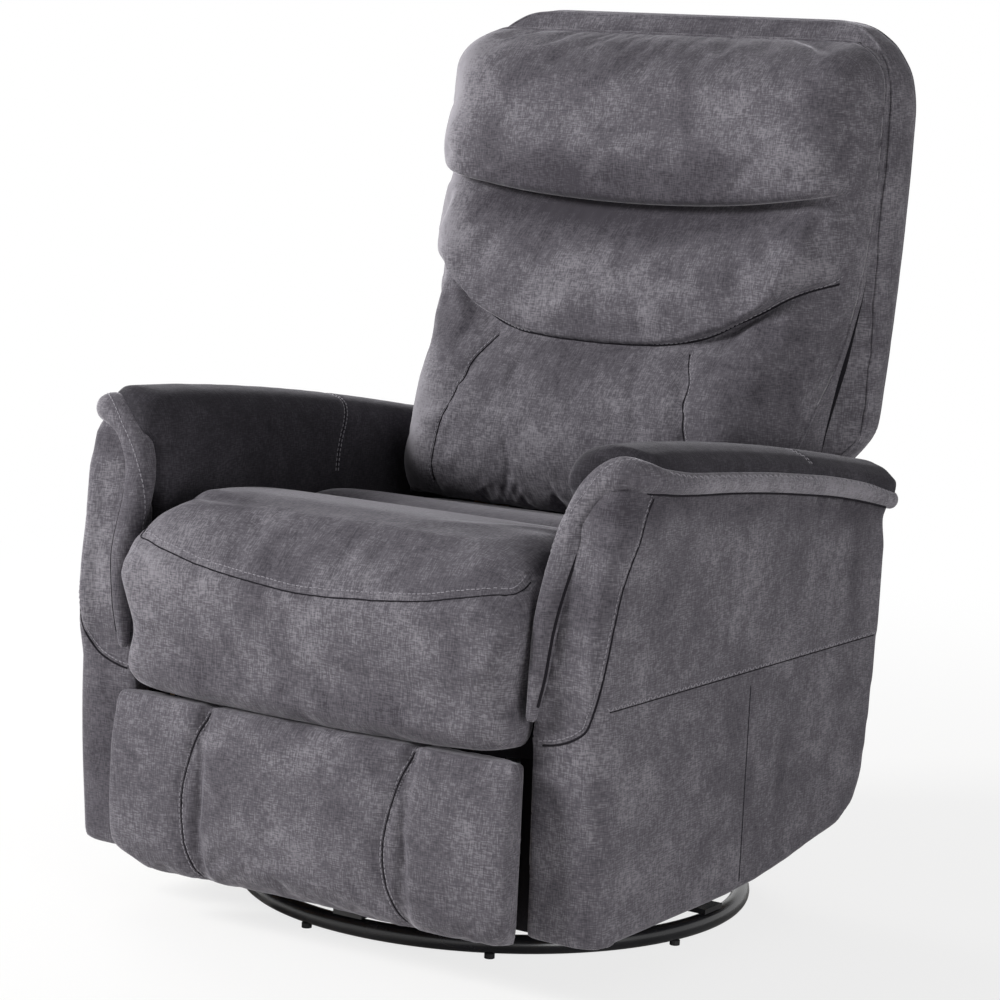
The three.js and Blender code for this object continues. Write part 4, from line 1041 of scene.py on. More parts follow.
@dataclass
class SwivelBase:
    """The ring, its bars, its feet and the bearing, on which the chair turns. Lengths are millimetres.

    Attributes:
        ring_radius: radius of the ring's middle line.
        tube_radius: radius of its tube.
        height: height of its middle line.
        feet: how many feet stand under it.
        steps: faces along the ring.
        sides: faces round its tube.
    """

    ring_radius: float = 302
    tube_radius: float = 11
    height: float = 17
    feet: int = 8
    steps: int = 180
    sides: int = 24

    def ring(self) -> None:
        """Replaces the ring's facets by a round tube."""
        turns = np.linspace(0, 2 * math.pi, self.steps + 1)[:-1, None]
        section = np.linspace(0, 2 * math.pi, self.sides, endpoint=False)
        radius = (self.ring_radius + self.tube_radius * np.cos(section)) * MM
        heights = (self.height + self.tube_radius * np.sin(section)) * MM
        level = np.broadcast_to(heights, (self.steps, self.sides))
        points = np.stack([radius * np.cos(turns), radius * np.sin(turns), level], axis=2)
        ids = np.arange(points[..., 0].size).reshape(self.steps, self.sides)
        on, up = np.roll(ids, -1, axis=0), np.roll(ids, -1, axis=1)
        faces = np.stack([ids, on, np.roll(on, -1, axis=1), up], axis=2).reshape(-1, 4)
        mesh = bpy.data.meshes.new("ring")
        mesh.from_pydata(points.reshape(-1, 3).tolist(), [], faces.tolist())
        make_piece("bent_ring_tube", mesh, RING_COAT, Body.BASE, ["base_ring"])

    def dress(self) -> None:
        """Gives the base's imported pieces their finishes."""
        self.ring()
        coat("base_spider", RING_COAT, bevel=0.8)
        for number in range(1, self.feet + 1):
            coat(f"base_foot_{number}", RUBBER, bevel=0.6)
        for node in ("lower_bearing_race", "upper_bearing_race", "swivel_bolt"):
            coat(node, ZINC, bevel=0.5)
        coat("bearing_ball_cage", NYLON, bevel=0.5)


@dataclass
class Mechanism:
    """The glider, the frames, the footrest's links and the release.

    Attributes:
        coats: finishes, each with the width of its softened edges in millimetres and how the names of its
            nodes start.
    """

    coats: Sequence[tuple[Finish, float, tuple[str, ...]]] = (
        (FRAME_COAT, 0.6, ("glider_frame", "chassis_frame", "seat_frame", "back_hinge")),
        (ZINC, 0.5, ("glide_link", "back_bracket")),
        (ZINC, 0.5, ("footrest_lower", "footrest_upper", "footrest_bracket")),
        (WIRE, 0.0, ("seat_spring",)),
        (PLYWOOD, 1.2, ("arm_frame", "seat_beam", "back_post", "back_rail")),
        (PLYWOOD, 1.2, ("rear_board", "footrest_board")),
        (ABS, 0.8, ("release",)),
    )

    def dress(self) -> None:
        """Gives each plate, tube, board and moulding its finish."""
        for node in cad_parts:
            for finish, bevel, starts in self.coats:
                if node.startswith(starts):
                    coat(node, finish, bevel)


@dataclass
class BackCushions:
    """The headrest, shoulder and lumbar cushions under one sewn cover. Lengths are millimetres.

    Attributes:
        nodes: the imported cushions.
        sections: for heights from the foot to the top, the half width, the depth of the side wall, the
            depth in the middle and how far in from the side the face starts to round.
        step: size of the cover's faces.
        turns: faces round each edge.
        top_radius: radius of the upper corners, seen from the front.
        edge_heights: how far below its top and above its foot the face starts to round.
        crease: height of the headrest's lower edge in the middle, its rise at the sides and its depth.
        crease_reach: how far the crease reaches above and below its line.
        hang: how far the headrest hangs down over the shoulder.
        hang_reach: how far above the crease the hang fades.
        headrest_swell: height of the headrest's swell, its place above the crease and its reach.
        yoke: places across and heights of the shoulder's lower edge.
        yoke_depth: depth of its groove in the middle, and how much deeper it is at the wings.
        yoke_reach: how far the groove reaches above and below its line.
        yoke_hang: how far the shoulder hangs over it, as a share of the headrest's hang, and how far above
            the yoke that fades.
        wings: places across where the wings start and are whole.
        shoulder_swell: height of the shoulder's swell, its place above the yoke and its reach.
        row_rise: how far above the yoke its row of stitches runs.
        crease_held: how far below and above the crease the cover is held while it is filled.
        yoke_held: the same for the yoke.
        filling: how the cover is stuffed.
    """

    nodes: Sequence[str] = ("headrest_cushion", "shoulder_cushion", "lumbar_cushion")
    sections: Sequence[tuple[float, ...]] = (
        (446, 262, 100, 160, 70),
        (500, 263, 92, 186, 84),
        (557, 265, 66, 190, 88),
        (598, 269, 40, 184, 88),
        (638, 274, 18, 166, 84),
        (680, 282, 12, 146, 76),
        (728, 290, 12, 133, 70),
        (784, 296, 12, 123, 62),
        (838, 299, 12, 113, 58),
        (900, 300, 12, 103, 56),
        (960, 300, 12, 95, 54),
        (1040, 300, 12, 84, 54),
    )
    step: float = 5.5
    turns: int = 14
    top_radius: float = 58
    edge_heights: Range = (58, 34)
    crease: Place = (838, 24, 46)
    crease_reach: Range = (6, 30)
    hang: float = 24
    hang_reach: float = 22
    headrest_swell: Place = (12, 44, 36)
    yoke: Sequence[Range] = (
        (0, 662), (60, 663), (100, 667), (140, 676), (180, 691), (220, 717), (250, 738), (280, 750),
        (300, 752),
    )
    yoke_depth: Range = (14, 14)
    yoke_reach: Range = (5, 34)
    yoke_hang: Range = (0.3, 14)
    wings: Range = (90, 190)
    shoulder_swell: Place = (7, 34, 28)
    row_rise: float = 9
    crease_held: Range = (-22, 13)
    yoke_held: Range = (-10, 9)
    filling: Filling = field(default_factory=lambda: Filling(pressure=3.5, growth=0.022, cap=13))

    @property
    def half_width(self) -> float:
        """Half the cover's greatest width."""
        return max(section[1] for section in self.sections)

    def rear(self, heights: Points) -> Points:
        """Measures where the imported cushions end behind, by rays at some heights."""
        tree = surface_tree(joined([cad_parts[node].data for node in self.nodes]))
        hits = [tree.ray_cast(Vector((0, 1, z * MM)), Vector((0, -1, 0)))[0] for z in heights]
        found = [(z, hit.y / MM) for z, hit in zip(heights, hits) if hit]
        return np.interp(heights, *zip(*found))

    @property
    def edge_turn(self) -> Points:
        """Angles of the lines round an edge, from the face outwards."""
        return np.linspace(0, math.pi / 2, self.turns + 1)[1:]

    def rows(self) -> tuple[Points, Points]:
        """Spaces the cover's level lines, one of them on each seam.

        Returns:
            Their heights in the middle of the cover, and the share of the full depth that the edges leave.
        """
        foot, top = self.sections[0][0], self.sections[-1][0]
        upper, lower = self.edge_heights
        stops = (foot + lower, self.yoke[0][1], self.crease[0], top - upper)
        runs = [np.linspace(a, b, round((b - a) / self.step) + 1) for a, b in zip(stops, stops[1:])]
        turn = self.edge_turn
        below = foot + lower * (1 - np.sin(turn[::-1]))
        above = top - upper * (1 - np.sin(turn))
        heights = np.concatenate([below, runs[0], runs[1][1:], runs[2][1:], above])
        level = np.ones(len(heights) - 2 * len(turn))
        return heights, np.concatenate([np.cos(turn[::-1]), level, np.cos(turn)]).clip(0, 1)

    def columns(self) -> tuple[Points, Points]:
        """Spaces the cover's upright lines.

        Returns:
            Their places, from -2 to 2 with the rounded edges beyond 1, and the edges' share of the depth.
        """
        turn = self.edge_turn
        count = round(2 * (self.half_width - self.sections[-1][4]) / self.step) + 1
        places = np.concatenate([-1 - np.sin(turn[::-1]), np.linspace(-1, 1, count), 1 + np.sin(turn)])
        return places, np.concatenate([np.cos(turn[::-1]), np.ones(count), np.cos(turn)]).clip(0, 1)

    def crease_line(self, x: np.ndarray) -> np.ndarray:
        """Returns the height of the headrest's lower edge."""
        middle, rise, _ = self.crease
        return middle + rise * (x / self.half_width) ** 2

    def yoke_line(self, x: np.ndarray) -> np.ndarray:
        """Returns the height of the shoulder's lower edge."""
        curve = smooth_curve([(*stop, 0) for stop in self.yoke], 4)
        return np.interp(np.abs(x), curve[:, 0], curve[:, 1])

    def placed(self, x: np.ndarray, heights: Points) -> np.ndarray:
        """Bends the level lines so that they follow the crease and the yoke."""
        foot, top = self.sections[0][0], self.sections[-1][0]
        level = (foot, self.yoke[0][1], self.crease[0], top)
        bent = np.empty_like(x)
        for column in range(x.shape[1]):
            middle = x[len(x) // 2, column]
            stops = (foot, float(self.yoke_line(middle)), float(self.crease_line(middle)), top)
            bent[:, column] = np.interp(heights, level, stops)
        return bent

    def formed(self, x: np.ndarray, z: np.ndarray, depth: np.ndarray) -> tuple[np.ndarray, np.ndarray]:
        """Gives the padding its creases and swells.

        Args:
            x: places across.
            z: heights.
            depth: the plain depth of padding.

        Returns:
            The formed depth, and how far each place hangs down over the crease below it.
        """
        across = np.abs(x) / self.half_width
        over = z - self.crease_line(x)
        fold = self.crease[2] * (1 - 0.55 * across**4)
        depth = depth - fold * groove(over, *self.crease_reach) + bulge(over, *self.headrest_swell)
        hang = self.hang * overhang(over, self.hang_reach) * (1 - 0.5 * across**4)
        over = z - self.yoke_line(x)
        middle, more = self.yoke_depth
        wing = smooth_step(*self.wings, np.abs(x)) * smooth_step(310, 270, np.abs(x))
        step = (middle + more * wing) * smooth_step(312, 284, np.abs(x))
        depth = depth - step * groove(over, *self.yoke_reach) + bulge(over, *self.shoulder_swell)
        share, reach = self.yoke_hang
        hang = hang + share * self.hang * overhang(over, reach) * smooth_step(300, 270, np.abs(x))
        return depth, hang

    def sheet(self) -> tuple[Mesh, np.ndarray, Points]:
        """Builds the closed cover before it is filled.

        Returns:
            The mesh, which of its vertices are held, and the line of its edge seam.
        """
        heights, up_share = self.rows()
        out, out_share = self.columns()
        table = list(zip(*self.sections))
        top = table[0][-1]
        plain_half = np.interp(heights, table[0], table[1])
        flat = np.clip(out, -1, 1)
        x = flat * (plain_half - np.interp(heights, table[0], table[4]))[:, None]
        x = x + (out - flat) * np.interp(heights, table[0], table[4])[:, None]
        z = self.placed(x, heights)
        half, wall, full, corner = (np.interp(z, table[0], values) for values in table[1:])
        into_top = np.clip((z - top + self.top_radius) / self.top_radius, 0, 1)
        half = half - self.top_radius * (1 - np.sqrt(1 - into_top**2))
        x = flat * (half - corner) + (out - flat) * corner
        depth, hang = self.formed(x, z, full)
        edges = out_share * up_share[:, None]
        depth = wall + np.maximum(depth - wall, 0) * edges
        levels = np.linspace(table[0][0], top, 80)
        rear = np.interp(z, levels, self.rear(levels))
        rows, columns = depth.shape
        front = np.stack([x, rear - depth, z - hang * edges], axis=2)
        back = np.stack([x, rear, z], axis=2)
        border = [(r, 0) for r in range(rows)] + [(rows - 1, c) for c in range(1, columns)]
        border += [(r, columns - 1) for r in range(rows - 2, -1, -1)]
        border += [(0, c) for c in range(columns - 2, 0, -1)]
        at = np.array(border)
        edge, seat = front[at[:, 0], at[:, 1]], back[at[:, 0], at[:, 1]]
        rings = [edge + (seat - edge) * share for share in (0.25, 0.5, 0.75)]
        points = np.concatenate([front.reshape(-1, 3), back.reshape(-1, 3), *rings])
        size = rows * columns
        ids = np.arange(size).reshape(rows, columns)
        quads = np.stack([ids[:-1, :-1], ids[:-1, 1:], ids[1:, 1:], ids[1:, :-1]], axis=2).reshape(-1, 4)
        loops = [ids[at[:, 0], at[:, 1]]]
        loops += [2 * size + n * len(border) + np.arange(len(border)) for n in range(len(rings))]
        loops.append(size + loops[0])
        walls = [
            np.stack([one, two, np.roll(two, -1), np.roll(one, -1)], axis=1)
            for one, two in zip(loops, loops[1:])
        ]
        faces = np.concatenate([quads, size + quads[:, ::-1], *walls])
        mesh = bpy.data.meshes.new("sheet")
        mesh.from_pydata((points * MM).tolist(), [], faces.tolist())
        held = np.ones(len(points), bool)
        held[:size] = False
        bands = ((self.crease_line, self.crease_held), (self.yoke_line, self.yoke_held))
        for line, (below, above) in bands:
            over = z - line(x)
            held[:size] |= ((over > below) & (over < above)).ravel()
        held[loops[0]] = True
        return mesh, held, edge[: 2 * rows + columns - 2]

    def seams(self) -> list[Seam]:
        """Returns the cover's seams."""
        reach = np.array([-293, -280, -250, -220, -190, -160, -130, -100, -50, 0])
        across = np.concatenate([reach, -reach[-2::-1]])
        bend = 190 + 80 * smooth_step(180, 294, np.abs(across))
        yoke = np.stack([across, bend, self.yoke_line(across)], axis=1)
        lumbar = [(-136, 176, 662), (-149, 140, 640), (-163, 112, 600), (-175, 100, 560)]
        lumbar += [(-183, 98, 510), (-186, 104, 458)]
        channel = Seam(lumbar, 3.0, 9, fold=1.0, rows=(-3.2,), pucker=0.5)
        seam = Seam(yoke, 0.0, 7, fold=1.6, pucker=0.0)
        row = Seam(yoke + (0, 0, self.row_rise), 1.2, 5, fold=0.0, rows=(0,), pucker=0.5)
        return [seam, channel, channel.mirrored(), row]

    def spots(self) -> list[NapAndLightSpot]:
        """Returns the cover's painted light and shade: painted shadow under the crease, at the headrest's
        lower edge and under the yoke, painted highlights down the left edges, and smaller lighter and
        darker patches.
        """
        shaded = [(x, 215, 818 + 16 * (x / 300) ** 2) for x in (-180, -60, 60, 180)]
        return [NapAndLightSpot(middle, (90, 80, 26), -0.42) for middle in shaded] + [
            NapAndLightSpot((-290, 285, 930), (56, 90, 130), 1.1),
            NapAndLightSpot((-120, 200, 1000), (120, 90, 30), -0.12),
            NapAndLightSpot((90, 200, 1010), (120, 90, 30), -0.14),
            NapAndLightSpot((-60, 200, 868), (200, 90, 24), -0.34),
            NapAndLightSpot((-268, 220, 790), (50, 90, 60), 0.56),
            NapAndLightSpot((40, 160, 740), (150, 90, 34), 0.1),
            NapAndLightSpot((60, 160, 683), (150, 90, 14), -0.16),
            NapAndLightSpot((-212, 180, 668), (44, 90, 34), -0.38),
            NapAndLightSpot((0, 120, 648), (130, 90, 18), -0.3),
            NapAndLightSpot((-230, 150, 540), (50, 90, 90), 0.85),
            NapAndLightSpot((-60, 90, 540), (90, 90, 60), 0.14),
            NapAndLightSpot((215, 200, 640), (50, 120, 60), -0.16),
            NapAndLightSpot((158, 100, 640), (20, 90, 50), 0.12),
        ]

    def build(self) -> None:
        """Builds the cover with its seams and its piping."""
        mesh, held, outline = self.sheet()
        seams = self.seams()
        held |= held_near(mesh_points(mesh), seams[1:3], 5)
        self.filling.blow_up(mesh, held)
        mesh = with_modifier(mesh, "SUBSURF", levels=1)
        cord = tube(smooth_curve(outline[::3] * MM, 5 * MM), 1.9 * MM, 8)
        finish_cover("back_cushions", mesh, Body.BACK, self.nodes, seams, [cord], spots=self.spots())


@dataclass
class BackShell:
    """The padded outer shell of the back, with welts round its edges. Lengths are millimetres.

    Attributes:
        node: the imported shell.
        welt: radius of the welts.
        tab_reach: how far across the tabs beside its foot start and end.
        tab_front: where the tabs hang.
        tab_heights: the tabs' lower and upper ends.
        front_half_widths: heights, each with half the width of the shell's front edge.
        face_half_widths: heights, each with half the width of the lining behind the cushions.
    """

    node: str = "back_shell"
    welt: float = 2.4
    tab_reach: Range = (258.0, 270.9)
    tab_front: float = 280.0
    tab_heights: Range = (396.0, 444.0)
    front_half_widths: Sequence[Range] = (
        (300, 268), (500, 269), (564, 272), (601, 277), (642, 285), (683, 290), (730, 297), (806, 303),
        (960, 314),
    )
    face_half_widths: Sequence[Range] = (
        (520, 262), (564, 266), (600, 272), (642, 280), (730, 290), (850, 298), (1000, 292), (1040, 255)
    )

    def edge(self, mesh: Mesh, forward: bool) -> Mesh:
        """Makes the welt round the shell's front or rear edge.

        Args:
            mesh: the finished shell.
            forward: whether it is the front edge.

        Returns:
            The welt's mesh.
        """
        tree = surface_tree(mesh)
        low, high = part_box(self.node)
        points = mesh_points(mesh)
        heights = np.linspace(low.z + 6 * MM, high.z - 6 * MM, 60)
        corners = []
        for z in heights:
            level = points[np.abs(points[:, 2] - z) < 5 * MM]
            half = level[:, 0].max()
            outer = level[level[:, 0] > half - 14 * MM]
            y = outer[:, 1].min() if forward else outer[:, 1].max()
            corners.append((half - 3 * MM, y, z))
        top = high.z - 2 * MM
        crown = points[points[:, 2] > high.z - 12 * MM]
        y = crown[:, 1].min() + 4 * MM if forward else crown[:, 1].max() - 4 * MM
        half = corners[-1][0]
        arch = [(half * share, y, top) for share in (0.86, 0.6, 0.3, 0.0)]
        right = corners + arch
        path = right + [(-x, y, z) for x, y, z in reversed(right[:-1])]
        line = on_surface(tree, smooth_curve(path, 6 * MM))[0]
        ends = line[[0, -1]].copy()
        line = relaxed(line, chain(line), 3)
        line[[0, -1]] = ends
        return tube(line, self.welt * MM, 8)

    def narrowed(self, mesh: Mesh) -> None:
        """Draws the shell's front edge in towards the cushions, and leaves its rear as wide as it is."""
        points = mesh_points(mesh)
        heights, target = (np.array(column) for column in zip(*self.front_half_widths))
        levels = np.arange(points[:, 2].min(), points[:, 2].max(), 8 * MM)
        near = [points[np.abs(points[:, 2] - z) < 8 * MM] for z in levels]
        front = np.interp(points[:, 2], levels, [level[:, 1].min() for level in near])
        width = np.interp(points[:, 2], levels, [np.abs(level[:, 0]).max() for level in near])
        wanted = np.interp(points[:, 2] / MM, heights, target) * MM
        share = smooth_step(34 * MM, 4 * MM, points[:, 1] - front)
        points[:, 0] *= 1 + (np.minimum(wanted / width, 1) - 1) * share
        set_points(mesh, points)

    def tabs(self) -> list[Mesh]:
        """Makes the two tabs of dark cloth that close the gaps between the shell's foot and the arms."""
        inner, outer = self.tab_reach
        y = self.tab_front
        return [hung_cloth([(z, y, inner, outer) for z in self.tab_heights], side) for side in Side]

    def lining(self) -> Mesh:
        """Makes the dark cloth that closes the shell behind the cushions, black also as painted shade for
        the deep gap there.
        """
        heights = np.linspace(self.face_half_widths[0][0], self.face_half_widths[-1][0], 60)
        half = np.interp(heights, *zip(*self.face_half_widths))
        rear = BackCushions().rear(heights)
        rows = [(z, y - 0.5, reach, -reach) for z, reach, y in zip(heights, half, rear)]
        return hung_cloth(rows, thickness=3)

    def build(self) -> None:
        """Builds the shell."""
        mesh = even_mesh([self.node], 6, 5)
        self.narrowed(mesh)
        welts = [self.edge(mesh, True), self.edge(mesh, False)]
        finish_cover("back_shell_cover", mesh, Body.BACK, [self.node], [], welts)
        make_piece("back_shell_lining", joined([self.lining(), *self.tabs()]), LINING_AND_SHADE, Body.BACK)


@dataclass
class SeatCushion:
    """The seat, with its front roll and the stitched line across it. Lengths are millimetres.

    Attributes:
        node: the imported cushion.
        flap_edges: half widths and heights of the black flap below its front.
        flap_front: where the flap hangs.
        fold_reach: how far before the middle the fold behind the roll lies.
        fold_depth: its depth at the sides.
        swells: for each swell of the top, its height, its place along y and its reach.
        wrinkles: for each wrinkle, its place in x and y, its turn in radians, its half length and
            its height.
        wrinkle_width: half width of a wrinkle.
        relaxing: how often the lower front corners are smoothed once they are filled.
        lip: how far the lip below the roll hangs down and comes forward.
        filling: how the cover is stuffed.
    """

    node: str = "seat_cushion"
    flap_edges: Sequence[Range] = ((226, 236), (226, 258), (268, 262), (268, 314))
    flap_front: float = -341.5
    fold_reach: float = 129.0
    fold_depth: float = 21.0
    swells: Sequence[Place] = ((6, -40, 55), (4, -270, 70))
    wrinkles: Sequence[tuple[float, ...]] = (
        (212, -250, 0.5, 62, 3.4),
        (196, -215, 0.75, 48, -3.0),
        (-226, -318, -0.25, 46, -2.6),
        (-204, -306, -0.2, 52, 2.2),
        (-176, -330, -0.12, 40, -1.8),
        (120, -300, 0.2, 44, 1.4),
    )
    wrinkle_width: float = 9
    relaxing: int = 24
    lip: Range = (9, 13)
    filling: Filling = field(default_factory=lambda: Filling(pressure=3.0, growth=0.018, cap=9))

    def seams(self) -> list[Seam]:
        """Returns the seam over the roll and the seam behind it."""
        half = [(-273, -366, 479), (-272, -380, 470), (-264, -390, 462), (-252, -398, 455)]
        half += [(-215, -406, 444), (-165, -411, 434), (-85, -413, 422), (0, -414, 417)]
        line = half + [(-x, y, z) for x, y, z in reversed(half[:-1])]
        rear = [(x, 62 + 0.00022 * x * x, 462) for x in (-255, -170, -85, 0, 85, 170, 255)]
        return [
            Seam(line, 3.0, 8, fold=1.0, rows=(8.6,), pucker=1.0),
            Seam(rear, 2.5, 7, rows=(-4.0,), pucker=0.6),
        ]

    def formed(self, points: Points) -> Points:
        """Gives the top its fold behind the roll, and the wrinkles that run out of it."""
        x, y, z = (points / MM).T
        top = smooth_step(400, 440, z)
        ends = 0.35 + 0.65 * smooth_step(60, 240, np.abs(x))
        fold = -self.fold_depth * ends * np.exp(-(((y + self.fold_reach) / 30) ** 2))
        swell = sum(bulge(y, *one) for one in self.swells)
        sides = 10 * smooth_step(190, 268, np.abs(x)) ** 2
        wrinkle = np.zeros_like(x)
        for x0, y0, turn, length, height in self.wrinkles:
            along = (x - x0) * math.cos(turn) + (y - y0) * math.sin(turn)
            beside = -(x - x0) * math.sin(turn) + (y - y0) * math.cos(turn)
            wrinkle += height * np.exp(-((along / length) ** 2) - (beside / self.wrinkle_width) ** 2)
        rise = top * (fold + swell - sides + wrinkle)
        lip = smooth_step(345, 290, z) * smooth_step(-345, -368, y)
        down, forward = self.lip
        rise -= lip * down * (1 - 0.9 * (x / 268) ** 2)
        return points + np.stack([np.zeros_like(x), -lip * forward * MM, rise * MM], axis=1)

    def build(self) -> None:
        """Builds the seat."""
        seams = self.seams()
        mesh = even_mesh([self.node], 6, 5)
        set_points(mesh, self.formed(mesh_points(mesh)))
        points = mesh_points(mesh)
        under = (points[:, 2] < 310 * MM) & (points[:, 1] > -320 * MM)
        held = under | held_near(points, seams[:1], 5)
        self.filling.blow_up(mesh, held)
        points = mesh_points(mesh)
        x, y, z = (points / MM).T
        corner = smooth_step(205, 240, np.abs(x)) * smooth_step(-285, -325, y)
        corner *= smooth_step(405, 375, z) * smooth_step(272, 286, z)
        set_points(mesh, relaxed(points, neighbour_pairs(mesh), self.relaxing, 0.5 * corner[:, None]))
        mesh = with_modifier(mesh, "SUBSURF", levels=1)
        hold_within(mesh, (-271.8, -414, 267.5), (271.8, 192, None))
        # Painted shade: the seat's top darker, darkest at its rear under the back, and under the roll;
        # painted highlights on its front left.
        spots = [
            NapAndLightSpot((0, -210, 480), (300, 130, 60), -0.56),
            NapAndLightSpot((0, 60, 470), (300, 120, 60), -0.6),
            NapAndLightSpot((-200, -400, 440), (90, 60, 60), 0.2),
            NapAndLightSpot((-250, -380, 360), (40, 60, 90), 0.16),
            NapAndLightSpot((0, -405, 300), (300, 60, 30), -0.16),
        ]
        finish_cover("seat_pad", mesh, Body.SEAT, [self.node], seams, spots=spots)
        self.flap()

    def flap(self) -> None:
        """Hangs the black cloth behind the footrest that keeps fingers and dust out of the links."""
        flap = hung_cloth([(z, self.flap_front, half, -half) for half, z in self.flap_edges])
        make_piece("seat_front_flap", flap, LINING_AND_SHADE, Body.SEAT)


@dataclass
class FootrestPad:
    """The padded cover of the footrest, in three panels. Lengths are millimetres.

    Attributes:
        node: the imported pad.
        lift: how far its upper edge is raised.
        crown: how far its front swells, the height of its middle and half its height.
        corners: how far its lower corners are drawn in and up.
        left_share: how much of that the lower left corner takes.
        square: how far its sides are drawn out in front.
        filling: how the cover is stuffed.
    """

    node: str = "footrest_pad"
    lift: float = 13.0
    crown: Place = (4, 160, 104)
    corners: Range = (10, 9)
    left_share: float = 0.15
    square: float = 15
    filling: Filling = field(default_factory=lambda: Filling(pressure=2.5, growth=0.008, cap=5))

    def seams(self) -> list[Seam]:
        """Returns the two seams between the panels."""
        left = [(-136, -378, 264), (-141, -396, 252), (-152, -407, 220), (-164, -410, 164)]
        left += [(-162, -409, 110), (-152, -400, 74), (-147, -384, 58)]
        right = [(144, -378, 264), (140, -396, 252), (128, -407, 215), (116, -410, 155)]
        right += [(120, -409, 110), (134, -400, 74), (140, -384, 58)]
        return [Seam(line, 3.2, 8, rows=(-2.6, 2.6), pucker=0.8) for line in (left, right)]

    def build(self) -> None:
        """Builds the footrest's cover."""
        seams = self.seams()
        mesh = even_mesh([self.node], 5, 3)
        points = mesh_points(mesh)
        x, y, z = (points / MM).T
        swell, middle, reach = self.crown
        crown = smooth_step(-368, -404, y) * swell
        crown *= np.cos(np.clip((z - middle) / reach, -1, 1) * math.pi / 2)
        corner = smooth_step(225, 268, np.abs(x)) * smooth_step(85, 57, z)
        corner *= np.where(x < 0, 1.0, self.left_share)
        lift = self.lift * smooth_step(225, 258, z) * smooth_step(-372, -396, y)
        drawn_in, drawn_up = self.corners
        points += np.stack([-np.sign(x) * corner * drawn_in, -crown, corner * drawn_up + lift], axis=1) * MM
        square = smooth_step(236, 254, np.abs(x)) * smooth_step(-378, -398, y) * smooth_step(62, 100, z)
        points[:, 0] += np.sign(x) * self.square * square * MM
        set_points(mesh, points)
        held = (y > -372) | held_near(points, seams, 4)
        self.filling.blow_up(mesh, held)
        mesh = with_modifier(mesh, "SUBSURF", levels=1)
        hold_within(mesh, (-272.2, None, None), (272.4, -364.3, 266))
        finish_cover("footrest_cover", mesh, Body.FOOTREST, [self.node], seams)


